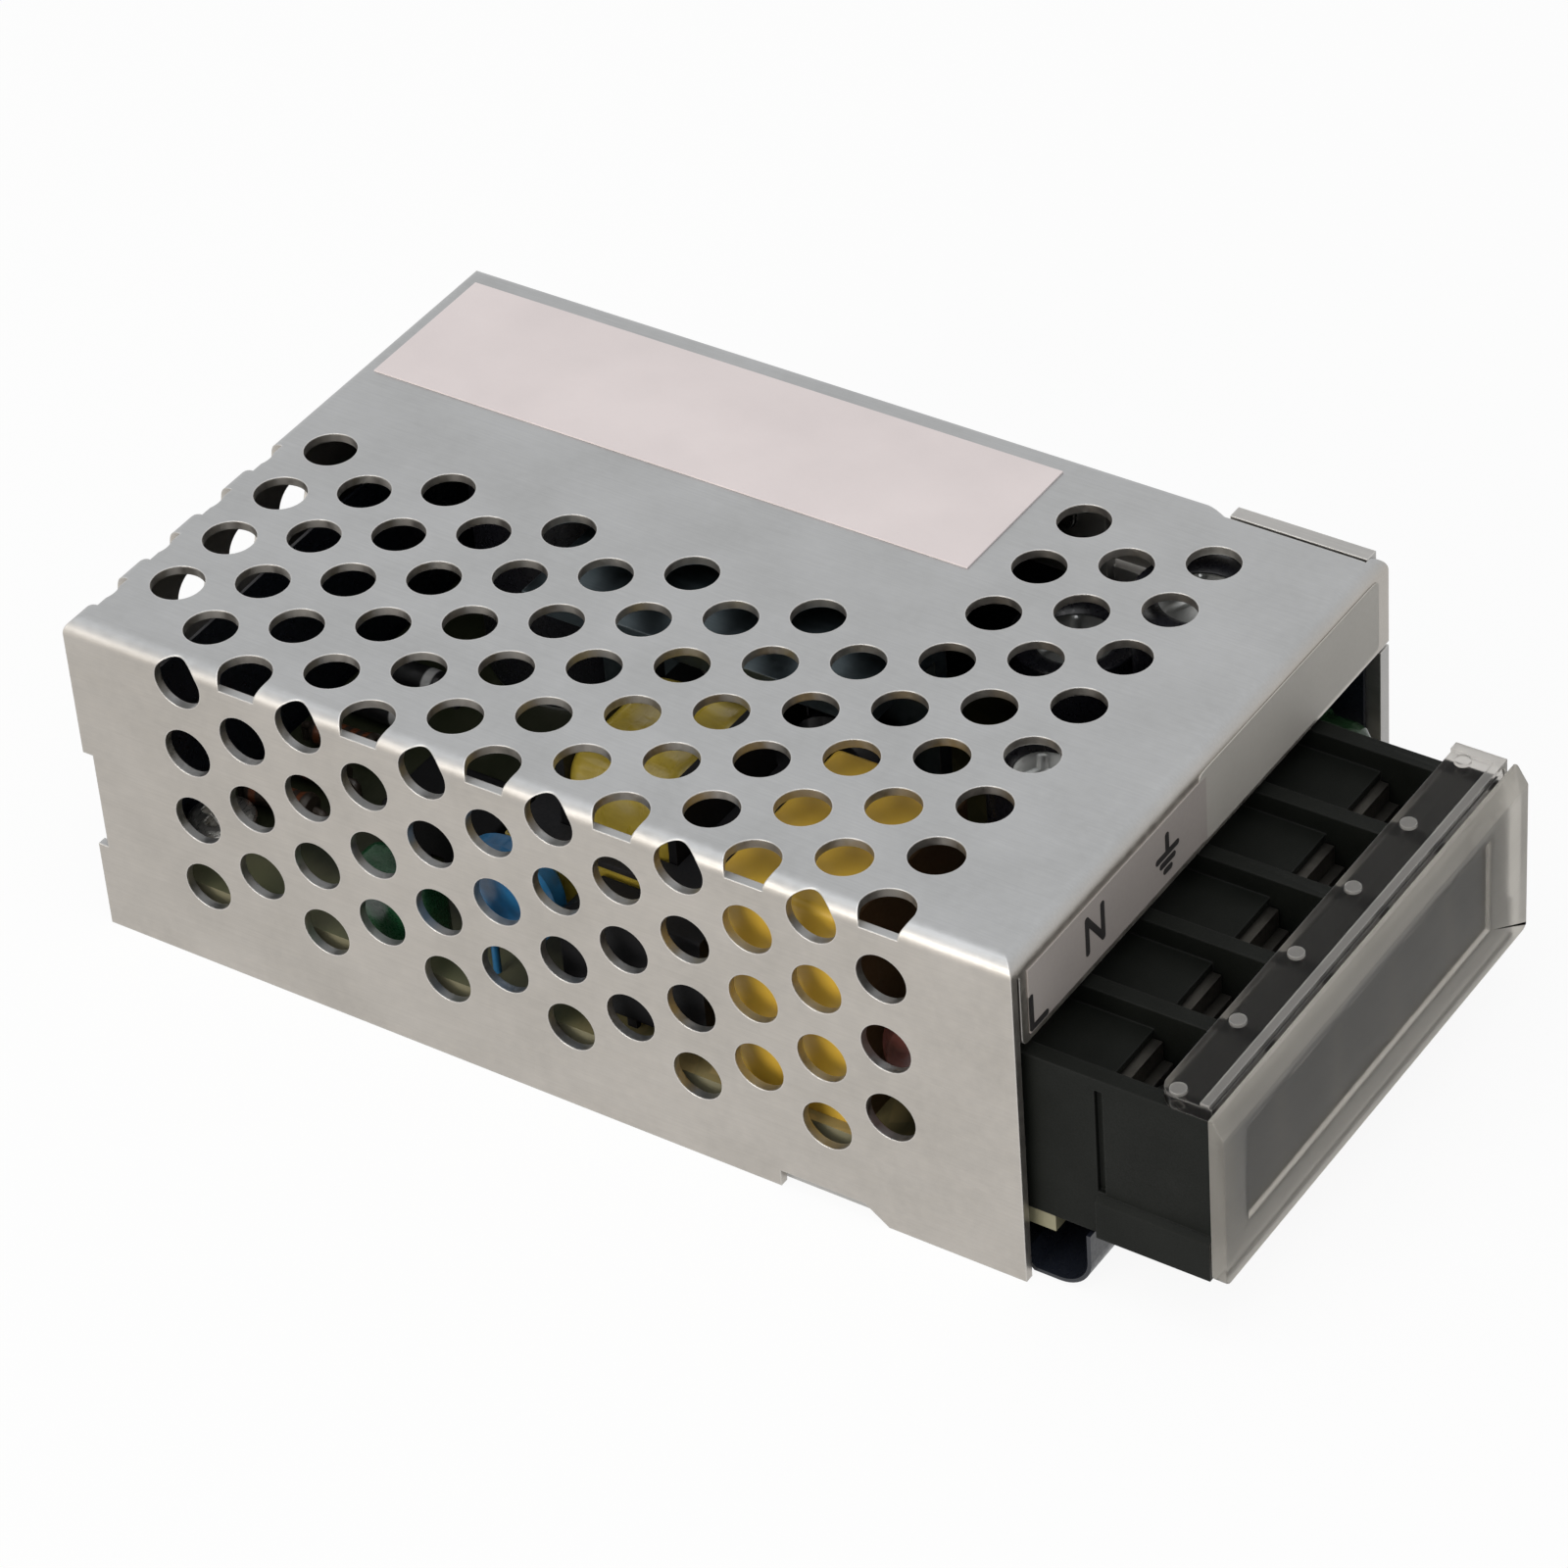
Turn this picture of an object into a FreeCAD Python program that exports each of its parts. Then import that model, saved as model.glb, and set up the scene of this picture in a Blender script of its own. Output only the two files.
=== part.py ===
import FreeCAD, Part
import math
import operator
import os
import types

import Sketcher

Vector = FreeCAD.Vector
Rotation = FreeCAD.Rotation

# Enclosed switching power supply, 79 x 51 x 28 mm, with a five-way terminal block.
# Millimetres. +X points out of the terminal end, -Y is the perforated near side,
# +Z is up. The origin is under the middle of the whole supply, on its mounting face.

sizes = {
    # Case and folded cover
    "caseLength": 79.0,  # front flange to back panel
    "caseWidth": 51.0,  # near side to far side
    "caseHeight": 28.0,  # mounting face to top
    "terminalReach": 15.6,  # terminal flap ahead of the front flange
    "coverSheet": 0.7,  # sheet of the cover
    "chassisSheet": 1.2,  # sheet of the chassis
    "bendRadius": 0.6,  # inside radius of every bend
    "bendDeduction": 0.4,  # length that one bend saves in the flat sheet
    "seamGap": 0.3,  # gap between folded edges
    "flangeDepth": 7.65,  # front flange below the top
    "skirtDepth": 7.6,  # far skirt below the top
    "skirtEnd": 15.3,  # skirt stops this far behind the front
    "skirtSlant": 2.9,  # slanted end of the skirt
    "notchStart": 11.04,  # notch in the near side's lower edge, behind the front
    "notchLength": 8.86,
    "notchDepth": 1.4,
    "notchSlope": 1.9,
    "cornerSlotLow": 7.5,  # slot at the near back corner
    "cornerSlotHigh": 16.0,
    "cornerSlotDepth": 0.9,
    # Vent holes, a triangular lattice laid out on the flat sheet
    "ventRadius": 2.0,
    "ventPitch": 6.15,
    "ventFirstColumn": 10.3,  # first column behind the front
    "ventFirstRow": 4.4,  # first row in from the near fold
    "ventColumns": 12,  # columns over the top and the near side
    "ventWideColumns": 3,  # columns that cross the whole top
    "ventWideRows": 7,
    "ventTopRows": 4,
    "ventSideRows": 3,
    "ventBackColumns": 6,  # columns from the back fold downwards
    # Chassis
    "baseSetback": 1.2,  # base plate behind the front
    "lugWidth": 8.0,
    "lugHeight": 7.6,
    "lugSetBack": 0.9,  # lugs inside the far face
    "frontLugBack": 26.0,
    "rearLugBack": 64.0,
    "tongueHeight": 3.4,
    "tongueLength": 8.0,
    "frontTongueBack": 24.0,
    "rearTongueBack": 60.0,
    "backTabIn": 13.5,
    "backTabWidth": 10.0,
    "backTabHeight": 13.0,
    "backScrewHeight": 9.5,
    "mountCoreRadius": 1.25,  # M3 tapped hole
    "mountCollarRadius": 2.3,
    "mountCollarRise": 1.2,
    "mountFrontBack": 12.0,  # front mounting holes behind the front
    "mountSpacing": 55.0,
    "wallMountHeight": 10.0,
    # Cover screws
    "coverScrewRadius": 1.5,
    "coverScrewSink": 0.5,
    "coverScrewLength": 2.4,
    "screwClearance": 0.06,
    # Labels
    "stickerThickness": 0.12,
    "labelBack": 25.3,
    "labelLength": 52.0,
    "labelFar": 2.3,  # label stops this far short of the far side
    "labelWidth": 13.1,
    "stripIn": 0.9,
    "stripLength": 23.2,
    "stripLow": 0.6,
    "stripHeight": 5.4,
    # Insulation sheet
    "filmThickness": 0.3,
    "filmBend": 0.9,
    "filmBack": 3.4,
    "filmWallTop": 18.6,
    "filmGap": 0.1,
    "lipReach": 4.6,
    "lipLow": 0.3,
    "lipTop": 5.4,
    "lipBend": 2.6,
    "filmHoleRadius": 3.1,
    # Circuit board
    "boardThickness": 1.6,
    "boardLift": 3.0,
    "boardBack": 3.2,
    "boardReach": 1.6,
    "boardNear": 1.5,
    "boardFar": 2.2,
    "isolationSlotLength": 5.6,
    "isolationSlotWidth": 1.5,
    "isolationSlotBack": 49.3,
    "isolationSlotIn": 35.2,
    # Board fixings
    "standoffRadius": 2.75,
    "spigotRadius": 1.9,
    "boardScrewRadius": 1.45,
    "boardScrewHeadRadius": 2.6,
    "boardScrewHeadHeight": 1.9,
    "boardScrewLength": 4.2,
    "frontNearScrewBack": 6.0,
    "frontNearScrewIn": 11.8,
    "frontFarScrewBack": 5.6,
    "frontFarScrewIn": 13.4,
    "rearScrewBack": 73.0,
    "rearNearScrewIn": 7.0,
    "rearFarScrewIn": 7.0,
    # Terminal block
    "terminalCount": 5,
    "terminalPitch": 7.8,
    "ribThickness": 1.3,
    "blockIn": 1.3,  # near end wall in from the near side
    "blockRear": 2.5,  # rear of the block behind the front
    "blockFront": 14.0,
    "blockTop": 19.6,
    "seatFront": 5.2,  # face that the terminal plates stand against
    "seatTop": 18.0,
    "blockFloor": 1.5,
    "plinthHeight": 3.6,
    "plinthProud": 0.5,
    "plinthBevel": 0.4,
    "grooveWidth": 0.6,
    "grooveDepth": 0.4,
    "grooveLow": 9.6,
    "grooveHigh": 18.6,
    "plateWidth": 6.0,
    "plateHeight": 9.8,
    "plateThickness": 0.8,
    "plateLow": 7.6,
    "tailWidth": 3.0,
    "tailLow": 8.1,
    "tailPinWidth": 1.0,
    "tailRear": 1.1,
    "tailGap": 0.05,
    "pinTip": 2.9,
    "pinHoleRadius": 0.85,
    "washerWidth": 5.9,
    "washerThickness": 0.8,
    "terminalScrewHeight": 12.9,
    "terminalScrewRadius": 1.5,
    "terminalScrewHeadRadius": 2.8,
    "terminalScrewHeadHeight": 2.1,
    "terminalScrewLength": 6.4,
    "terminalScrewDome": 0.5,
    # Clear terminal cover
    "stripRear": 10.0,  # fixed strip starts this far ahead of the front
    "stripThickness": 1.1,
    "stripCorner": 1.4,
    "ridgeWidth": 0.7,
    "ridgeHeight": 0.3,
    "endLipWidth": 0.8,
    "endLipHeight": 0.3,
    "pegRadius": 0.45,
    "pegLength": 1.4,
    "pegSetback": 2.7,
    "bossRadius": 0.6,
    "bossHeight": 0.25,
    "hingeGap": 0.2,
    "flapThickness": 1.2,
    "flapNear": 0.3,
    "flapWidth": 42.3,
    "flapLow": 6.4,
    "flapHeelWidth": 0.35,
    "flapBevelDrop": 1.4,
    "flapCorner": 1.2,
    "windowNear": 3.4,
    "windowWidth": 33.6,
    "windowLow": 10.2,
    "windowHeight": 8.0,
    "windowDepth": 0.35,
    # Input side
    "fuseBack": 11.6,
    "fuseNear": 8.9,
    "fuseRadius": 1.6,
    "fuseLength": 6.6,
    "fuseCapLength": 1.5,
    "fuseCapThickness": 0.15,
    "leadRadius": 0.3,
    "thermistorBack": 8.1,
    "thermistorNear": 2.75,
    "thermistorRadius": 5.0,
    "thermistorThickness": 3.5,
    "discLift": 2.2,
    "discRim": 0.9,
    "xCapacitorBack": 14.4,
    "xCapacitorLength": 10.8,
    "xCapacitorNear": 2.4,
    "xCapacitorWidth": 15.6,
    "xCapacitorHeight": 18.6,
    "boxEdge": 0.6,
    "chokeBack": 20.1,
    "chokeIn": 23.4,
    "chokeRingRadius": 3.3,
    "chokeRingSection": 1.2,
    "chokeWindingSection": 1.65,
    "chokeWindingSweep": 140.0,
    "chokeBaseHeight": 1.2,
    "chokeDividerThickness": 0.8,
    "chokeDividerHeight": 4.4,
    "bridgeBack": 26.8,
    "bridgeLength": 12.0,
    "bridgeNear": 2.2,
    "bridgeWidth": 3.2,
    "bridgeHeight": 9.4,
    "bridgeBevel": 2.0,
    "bulkBack": 61.6,
    "bulkIn": 12.6,
    "bulkRadius": 7.8,
    "bulkHeight": 20.0,
    "sleeveThickness": 0.15,
    "sleeveGap": 0.03,
    "yCapacitorRadius": 4.3,
    "yCapacitorThickness": 3.0,
    "nearYCapacitorBack": 44.0,
    "nearYCapacitorNear": 2.4,
    "farYCapacitorBack": 31.0,
    "farYCapacitorNear": 25.6,
    # Transformer and switching side
    "transformerBack": 29.4,
    "transformerLength": 16.0,
    "transformerNear": 5.9,
    "transformerWidth": 17.2,
    "coreLow": 12.3,
    "coreThickness": 5.6,
    "coreBackThickness": 3.0,
    "coreSideLeg": 2.2,
    "coreCentreLeg": 4.4,
    "bobbinWall": 0.7,
    "bobbinGap": 0.1,
    "windingHalfHeight": 8.9,
    "windingCorner": 2.0,
    "tapeThickness": 0.2,
    "tapeWidth": 4.6,
    "bobbinRailHeight": 2.4,
    "heatsinkBack": 24.8,
    "heatsinkLength": 29.4,
    "heatsinkIn": 31.5,
    "heatsinkShelf": 10.1,
    "heatsinkThickness": 1.5,
    "heatsinkTop": 25.2,
    "transistorBack": 41.0,
    "tabWidth": 10.0,
    "tabThickness": 1.3,
    "tabHeight": 6.0,
    "tabHoleRadius": 1.8,
    "caseThickness": 4.4,
    "packageHeight": 9.0,
    "packageLift": 2.2,
    "legWidth": 0.8,
    "legThickness": 0.5,
    "legSpacing": 2.54,
    "padThickness": 0.2,
    "tabScrewRadius": 1.45,
    "tabScrewHeadRadius": 2.7,
    "tabScrewHeadHeight": 1.8,
    "controllerBack": 52.5,
    "controllerLength": 9.5,
    "controllerNear": 12.0,
    "chipWidth": 6.4,
    "chipHeight": 3.3,
    "chipLift": 0.4,
    "chipLegWidth": 1.2,
    "chipLegThickness": 0.3,
    "optocouplerBack": 47.0,
    "optocouplerLength": 4.6,
    "optocouplerNear": 32.0,
    "filmCapacitorBack": 51.3,
    "filmCapacitorLength": 6.8,
    "filmCapacitorNear": 2.6,
    "filmCapacitorWidth": 3.8,
    "filmCapacitorHeight": 6.4,
    "axialRadius": 1.2,
    "axialLength": 6.0,
    "axialLift": 0.2,
    "axialBack": 67.5,
    "axialSpacing": 4.0,
    "resistorNear": 11.0,
    "resistorCount": 3,
    "diodeNear": 23.5,
    "diodeCount": 2,
    # Output side
    "rectifierBack": 36.0,
    "rectifierHeatsinkBack": 28.0,
    "rectifierHeatsinkLength": 18.0,
    "rectifierHeatsinkIn": 15.3,
    "rectifierHeatsinkTop": 25.0,
    "outputChokeBack": 17.8,
    "outputChokeIn": 17.5,
    "outputChokeRadius": 4.3,
    "outputChokeHeight": 9.0,
    "outputChokeWaist": 2.2,
    "outputChokeRim": 1.4,
    "vccCapacitorBack": 11.0,
    "vccCapacitorIn": 22.0,
    "smallCanRadius": 3.8,
    "smallCanHeight": 19.4,
    "outputCapacitorBack": 11.0,
    "outputCapacitorIn": 7.5,
    "secondCapacitorBack": 21.5,
    "secondCapacitorIn": 7.6,
    "thirdCapacitorBack": 9.2,
    "thirdCapacitorIn": 19.1,
    "largeCanRadius": 4.75,
    "largeCanHeight": 19.8,
    "lowCanHeight": 12.4,
    "canGrooveHeight": 1.6,
    "canGroove": 0.4,
    "canRim": 0.5,
    # Indicator and trimmer
    "trimmerFront": 0.2,
    "trimmerDepth": 4.5,
    "trimmerIn": 4.7,
    "trimmerWidth": 5.0,
    "trimmerHeight": 6.5,
    "rotorRadius": 1.9,
    "rotorThickness": 0.9,
    "rotorShaftRadius": 1.2,
    "rotorShaftLength": 2.6,
    "rotorClearance": 0.05,
    "rotorSlotWidth": 0.6,
    "rotorSlotDepth": 0.5,
    "lampRadius": 1.5,
    "lampFlangeRadius": 1.8,
    "lampLength": 4.4,
    "lampBack": 3.4,
    "lampHeight": 14.3,
    "lampLeadSide": 0.45,
    "lampLeadSpacing": 2.54,
}

signs = {"+": operator.add, "-": operator.sub, "*": operator.mul, "/": operator.truediv}
beyond = 1.0  # how far a cut runs past the face that it opens
quarterTurn = 90


class Size:
    """A size that knows the formula that gives it in the sheet, and its value."""

    def __init__(self, formula, value):
        self.formula = formula
        self.value = value

    def __add__(self, other):
        return combine(self, "+", other)

    def __radd__(self, other):
        return combine(other, "+", self)

    def __sub__(self, other):
        return combine(self, "-", other)

    def __rsub__(self, other):
        return combine(other, "-", self)

    def __mul__(self, other):
        return combine(self, "*", other)

    def __rmul__(self, other):
        return combine(other, "*", self)

    def __truediv__(self, other):
        return combine(self, "/", other)

    def __neg__(self):
        return combine(0, "-", self)


def sized(thing):
    """The thing itself when it is a Size, or a plain number as one."""
    return thing if isinstance(thing, Size) else Size(repr(thing), thing)


def combine(left, sign, right):
    """One Size out of two, with its formula and its value kept together."""
    left = sized(left)
    right = sized(right)
    formula = f"({left.formula} {sign} {right.formula})"
    return Size(formula, signs[sign](left.value, right.value))


doc = FreeCAD.newDocument("PowerSupply")
sheet = doc.addObject("Spreadsheet::Sheet", "Dims")
dims = types.SimpleNamespace()
for line, (alias, number) in enumerate(sizes.items(), start=1):
    sheet.set(f"A{line}", alias)
    sheet.set(f"B{line}", str(number))
    sheet.setAlias(f"B{line}", alias)
    setattr(dims, alias, Size(f"Dims.{alias}", number))
doc.recompute()

nodes = {}


def bind(thing, path, size):
    """Ties one property of a thing to the sheet."""
    thing.setExpression(path, sized(size).formula)


def place(thing, spot):
    """Ties the place of a thing to the sheet."""
    for axis, size in zip("xyz", spot):
        bind(thing, f"Placement.Base.{axis}", size)


def box(name, x, y, z):
    """Block between the lows and highs of its three ranges."""
    block = doc.addObject("Part::Box", name)
    for side, (low, high) in zip(("Length", "Width", "Height"), (x, y, z)):
        bind(block, side, sized(high) - low)
    place(block, (x[0], y[0], z[0]))
    return block


turns = {
    "X": Rotation(Vector(0, 1, 0), quarterTurn),
    "Y": Rotation(Vector(1, 0, 0), -quarterTurn),
    "Z": Rotation(),
}


def rod(name, axis, radius, start, length):
    """Cylinder from the middle of its first end along one axis."""
    cylinder = doc.addObject("Part::Cylinder", name)
    cylinder.Placement = FreeCAD.Placement(Vector(), turns[axis])
    bind(cylinder, "Radius", radius)
    bind(cylinder, "Height", length)
    place(cylinder, start)
    return cylinder


def join(name, pieces):
    """One solid out of pieces that touch."""
    whole = doc.addObject("Part::MultiFuse", name)
    whole.Shapes = pieces
    whole.Refine = True
    return whole


def cut(name, base, tools):
    """The base with every tool taken away from it."""
    result = doc.addObject("Part::Cut", name)
    result.Base = base
    result.Tool = tools[0] if len(tools) == 1 else join(f"{name}Tools", tools)
    result.Refine = True
    return result


def group(name, pieces):
    """Separate solids of one kind, kept together."""
    whole = doc.addObject("Part::Compound", name)
    whole.Links = pieces
    return whole


def keep(label, thing):
    """Names a finished piece."""
    thing.Label = label
    nodes[label] = thing


def sketch(body, plane, height, outlines, circles):
    """Sketch on an origin plane of its body, with every point and radius tied to the sheet."""
    drawing = body.newObject("Sketcher::SketchObject", f"{body.Name}Sketch")
    support = next(f for f in body.Origin.OriginFeatures if f.Role == f"{plane}_Plane")
    drawing.AttachmentSupport = [(support, "")]
    drawing.MapMode = "FlatFace"
    offset = -sized(height) if plane == "XZ" else height
    bind(drawing, "AttachmentOffset.Base.z", offset)
    geometry = []
    constraints = []
    ties = []
    for outline in outlines:
        first = len(geometry)
        count = len(outline)
        corners = [(sized(across), sized(up)) for across, up in outline]
        for corner, (across, up) in enumerate(corners):
            following = (corner + 1) % count
            after = Vector(corners[following][0].value, corners[following][1].value, 0)
            geometry.append(Part.LineSegment(Vector(across.value, up.value, 0), after))
            line = first + corner
            constraints.append(Sketcher.Constraint("Coincident", line, 2, first + following, 1))
            ties.append(("DistanceX", (-1, 1, line, 1), across))
            ties.append(("DistanceY", (-1, 1, line, 1), up))
    for across, up, radius in circles:
        across = sized(across)
        up = sized(up)
        radius = sized(radius)
        centre = Vector(across.value, up.value, 0)
        ring = len(geometry)
        geometry.append(Part.Circle(centre, Vector(0, 0, 1), radius.value))
        ties.append(("DistanceX", (-1, 1, ring, 3), across))
        ties.append(("DistanceY", (-1, 1, ring, 3), up))
        ties.append(("Radius", (ring,), radius))
    drawing.addGeometry(geometry, False)
    named = len(constraints)
    for kind, where, size in ties:
        constraints.append(Sketcher.Constraint(kind, *where, size.value))
    drawing.addConstraint(constraints)
    for number, (kind, where, size) in enumerate(ties):
        drawing.renameConstraint(named + number, f"tie{number}")
        bind(drawing, f"Constraints.tie{number}", size)
    return drawing


def volumeOf(body):
    """Volume of a body, nothing while it is empty."""
    return body.Shape.Volume if not body.Shape.isNull() else 0


def pad(body, plane, low, high, outlines=(), circles=()):
    """Adds an outline between two heights along the normal of its plane."""
    before = volumeOf(body)
    start = high if plane == "XZ" else low
    drawing = sketch(body, plane, start, outlines, circles)
    feature = body.newObject("PartDesign::Pad", f"{body.Name}Pad")
    feature.Profile = drawing
    bind(feature, "Length", sized(high) - low)
    doc.recompute()
    if volumeOf(body) <= before:
        raise ValueError(f"{feature.Name} adds nothing")
    return feature


def pocket(body, plane, low, high, outlines=(), circles=()):
    """Cuts an outline between two heights along the normal of its plane."""
    before = volumeOf(body)
    start = low if plane == "XZ" else high
    drawing = sketch(body, plane, start, outlines, circles)
    feature = body.newObject("PartDesign::Pocket", f"{body.Name}Pocket")
    feature.Profile = drawing
    bind(feature, "Length", sized(high) - low)
    doc.recompute()
    if volumeOf(body) >= before:
        raise ValueError(f"{feature.Name} cuts nothing")
    return feature


def edgesAt(shape, spots):
    """Names of the edges that pass nearest to some spots."""
    names = []
    for spot in spots:
        point = Part.Vertex(*(sized(size).value for size in spot))
        gaps = [edge.distToShape(point)[0] for edge in shape.Edges]
        names.append(f"Edge{gaps.index(min(gaps)) + 1}")
    return names


def soften(body, kind, size, spots):
    """Rounds or bevels the edges at some spots: kind is Fillet or Chamfer."""
    base = body.Tip
    names = edgesAt(base.Shape, spots)
    feature = body.newObject(f"PartDesign::{kind}", f"{body.Name}{kind}")
    feature.Base = (base, names)
    bind(feature, "Radius" if kind == "Fillet" else "Size", size)
    doc.recompute()
    return feature


def newBody(name):
    return doc.addObject("PartDesign::Body", name)


def turned(name, outline, spot, axis="Z"):
    """Body turned from a profile of radius and height, its axis along X, Y or Z."""
    body = newBody(name)
    drawing = sketch(body, "XZ", 0, [outline], [])
    feature = body.newObject("PartDesign::Revolution", f"{name}Turn")
    feature.Profile = drawing
    feature.ReferenceAxis = (drawing, ["V_Axis"])
    feature.Angle = 360
    body.Placement = FreeCAD.Placement(Vector(), turns[axis])
    place(body, spot)
    return body


def rectangle(x, y):
    """Corners of a rectangle between its lows and highs."""
    return [(x[0], y[0]), (x[1], y[0]), (x[1], y[1]), (x[0], y[1])]


def around(middle, width):
    """Low and high of a range about its middle."""
    return (middle - width / 2, middle + width / 2)


def span(low, length):
    """Low and high of a range from its low end."""
    return (low, low + length)


# Faces that the pieces are laid out from
frontX = (dims.caseLength - dims.terminalReach) / 2
backX = frontX - dims.caseLength
nearY = -dims.caseWidth / 2
farY = dims.caseWidth / 2
topZ = dims.caseHeight
flangeLowZ = topZ - dims.flangeDepth
skirtLowZ = topZ - dims.skirtDepth
floorZ = dims.chassisSheet
boardLowZ = floorZ + dims.boardLift
boardTopZ = boardLowZ + dims.boardThickness
coverInnerY = nearY + dims.coverSheet + dims.seamGap
wallInnerY = farY - dims.chassisSheet
baseBackX = backX + dims.coverSheet + dims.seamGap
baseFrontX = frontX - dims.baseSetback
skirtScrewZ = topZ - dims.skirtDepth / 2
coverScrewHole = dims.coverScrewRadius + dims.screwClearance
lugBacks = (dims.frontLugBack, dims.rearLugBack)
mountXs = (frontX - dims.mountFrontBack, frontX - dims.mountFrontBack - dims.mountSpacing)
standoffs = [
    (frontX - dims.frontNearScrewBack, nearY + dims.frontNearScrewIn),
    (frontX - dims.frontFarScrewBack, farY - dims.frontFarScrewIn),
    (frontX - dims.rearScrewBack, nearY + dims.rearNearScrewIn),
    (frontX - dims.rearScrewBack, farY - dims.rearFarScrewIn),
]
blockNearY = nearY + dims.blockIn
blockFarY = blockNearY + dims.terminalCount * dims.terminalPitch + dims.ribThickness
blockX = (frontX - dims.blockRear, frontX + dims.blockFront)
seatX = frontX + dims.seatFront
ribYs = [
    blockNearY + dims.ribThickness / 2 + number * dims.terminalPitch
    for number in range(int(dims.terminalCount.value) + 1)
]
terminalYs = [rib + dims.terminalPitch / 2 for rib in ribYs[:-1]]
pegX = frontX + dims.blockFront - dims.pegSetback


def ventCentres():
    """Hole centres in the flat sheet: behind the front edge, and in from the near fold."""
    columnPitch = dims.ventPitch * math.sqrt(3) / 2
    columns = int(dims.ventColumns.value)
    centres = []
    for column in range(columns + int(dims.ventBackColumns.value)):
        shifted = column % 2 == 0
        first = -int(dims.ventSideRows.value) if column < columns else 1
        wide = column < int(dims.ventWideColumns.value)
        rows = dims.ventWideRows if wide else dims.ventTopRows
        for row in range(first, int(rows.value) + 1):
            steps = row - 1 + (0.5 if shifted else 0)
            behind = dims.ventFirstColumn + column * columnPitch
            centres.append((behind, dims.ventFirstRow + steps * dims.ventPitch))
    return centres


def makeVentCover():
    """Cover folded from one sheet, with the hole lattice carried over its bends."""
    sheetT = dims.coverSheet
    outerBend = dims.bendRadius + sheetT
    cover = newBody("ventCover")
    pad(cover, "XY", 0, topZ, [rectangle((backX, frontX), (nearY, farY))])
    outerEdges = [(0, nearY, topZ), (0, farY, topZ), (backX, 0, topZ), (frontX, 0, topZ)]
    soften(cover, "Fillet", outerBend, outerEdges)
    innerX = (backX + sheetT, frontX - sheetT)
    innerY = (nearY + sheetT, farY - sheetT)
    innerZ = topZ - sheetT
    pocket(cover, "XY", 0, innerZ, [rectangle(innerX, innerY)])
    innerEdges = [(0, y, innerZ) for y in innerY] + [(x, 0, innerZ) for x in innerX]
    soften(cover, "Fillet", dims.bendRadius, innerEdges)
    cutOpenings(cover, outerBend)
    cutVents(cover, outerBend)
    for back in lugBacks:
        sinkHole(cover, "XZ", (frontX - back, farY, skirtScrewZ), (-sheetT - dims.seamGap, beyond))
    backSpot = (backX, farY - dims.backTabIn, dims.backScrewHeight)
    sinkHole(cover, "YZ", backSpot, (-beyond, sheetT + dims.seamGap))
    soften(cover, "Fillet", sheetT, [(frontX - sheetT / 2, coverInnerY, flangeLowZ)])
    return cover


def cutOpenings(cover, outerBend):
    """Front below the flange, far side below the skirt, seams, notch and corner slot."""
    sheetT = dims.coverSheet
    seamTop = topZ - outerBend - dims.seamGap
    seamNear = nearY + sheetT
    front = [
        (seamNear, -beyond),
        (farY + beyond, -beyond),
        (farY + beyond, flangeLowZ),
        (coverInnerY, flangeLowZ),
        (coverInnerY, seamTop),
        (seamNear, seamTop),
    ]
    pocket(cover, "YZ", frontX - sheetT - dims.seamGap, frontX + beyond, [front])
    farSide = rectangle((backX + sheetT, frontX + beyond), (-beyond, skirtLowZ))
    pocket(cover, "XZ", farY - sheetT, farY + beyond, [farSide])
    wallEdge = wallInnerY - dims.seamGap
    flangeRear = frontX - sheetT - dims.seamGap
    step = [
        (frontX - dims.skirtEnd, farY + beyond),
        (frontX - dims.skirtEnd, farY),
        (frontX - dims.skirtEnd + dims.skirtSlant, wallEdge),
        (flangeRear, wallEdge),
        (flangeRear, farY + beyond),
    ]
    pocket(cover, "XY", 0, topZ + beyond, [step])
    backSeam = rectangle((seamNear, coverInnerY), (-beyond, seamTop))
    pocket(cover, "YZ", backX - beyond, backX + sheetT + dims.seamGap, [backSeam])
    notchX = frontX - dims.notchStart
    notch = [
        (notchX - dims.notchLength, -beyond),
        (notchX, -beyond),
        (notchX, 0),
        (notchX - dims.notchSlope, dims.notchDepth),
        (notchX - dims.notchLength, dims.notchDepth),
    ]
    pocket(cover, "XZ", nearY - beyond, coverInnerY, [notch])
    slotX = (backX - beyond, backX + dims.cornerSlotDepth)
    slot = rectangle(slotX, (dims.cornerSlotLow, dims.cornerSlotHigh))
    pocket(cover, "XZ", nearY - beyond, nearY + sheetT, [slot])


def cutVents(cover, outerBend):
    """Holes punched in the flat sheet: those on a fold are cut from both of its faces."""
    radius = dims.ventRadius
    columns = int(dims.ventColumns.value)
    columnPitch = dims.ventPitch * math.sqrt(3) / 2
    lastSide = dims.ventFirstColumn + (columns - 1) * columnPitch
    top = []
    side = []
    back = []
    for behind, inward in ventCentres():
        x = frontX - behind
        y = nearY + inward
        sideZ = topZ - dims.bendDeduction + inward
        backZ = topZ - dims.bendDeduction + dims.caseLength - behind
        onTop = (inward + radius).value > 0 and (dims.caseLength - behind + radius).value > 0
        if onTop:
            top.append((x, y, radius))
        if (sideZ - radius).value < topZ.value and behind.value <= lastSide.value:
            side.append((x, sideZ, radius))
        if (backZ - radius).value < topZ.value:
            back.append((y, backZ, radius))
    pocket(cover, "XY", topZ - outerBend, topZ, circles=top)
    pocket(cover, "XZ", nearY, nearY + outerBend, circles=side)
    pocket(cover, "YZ", backX, backX + outerBend, circles=back)


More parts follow.
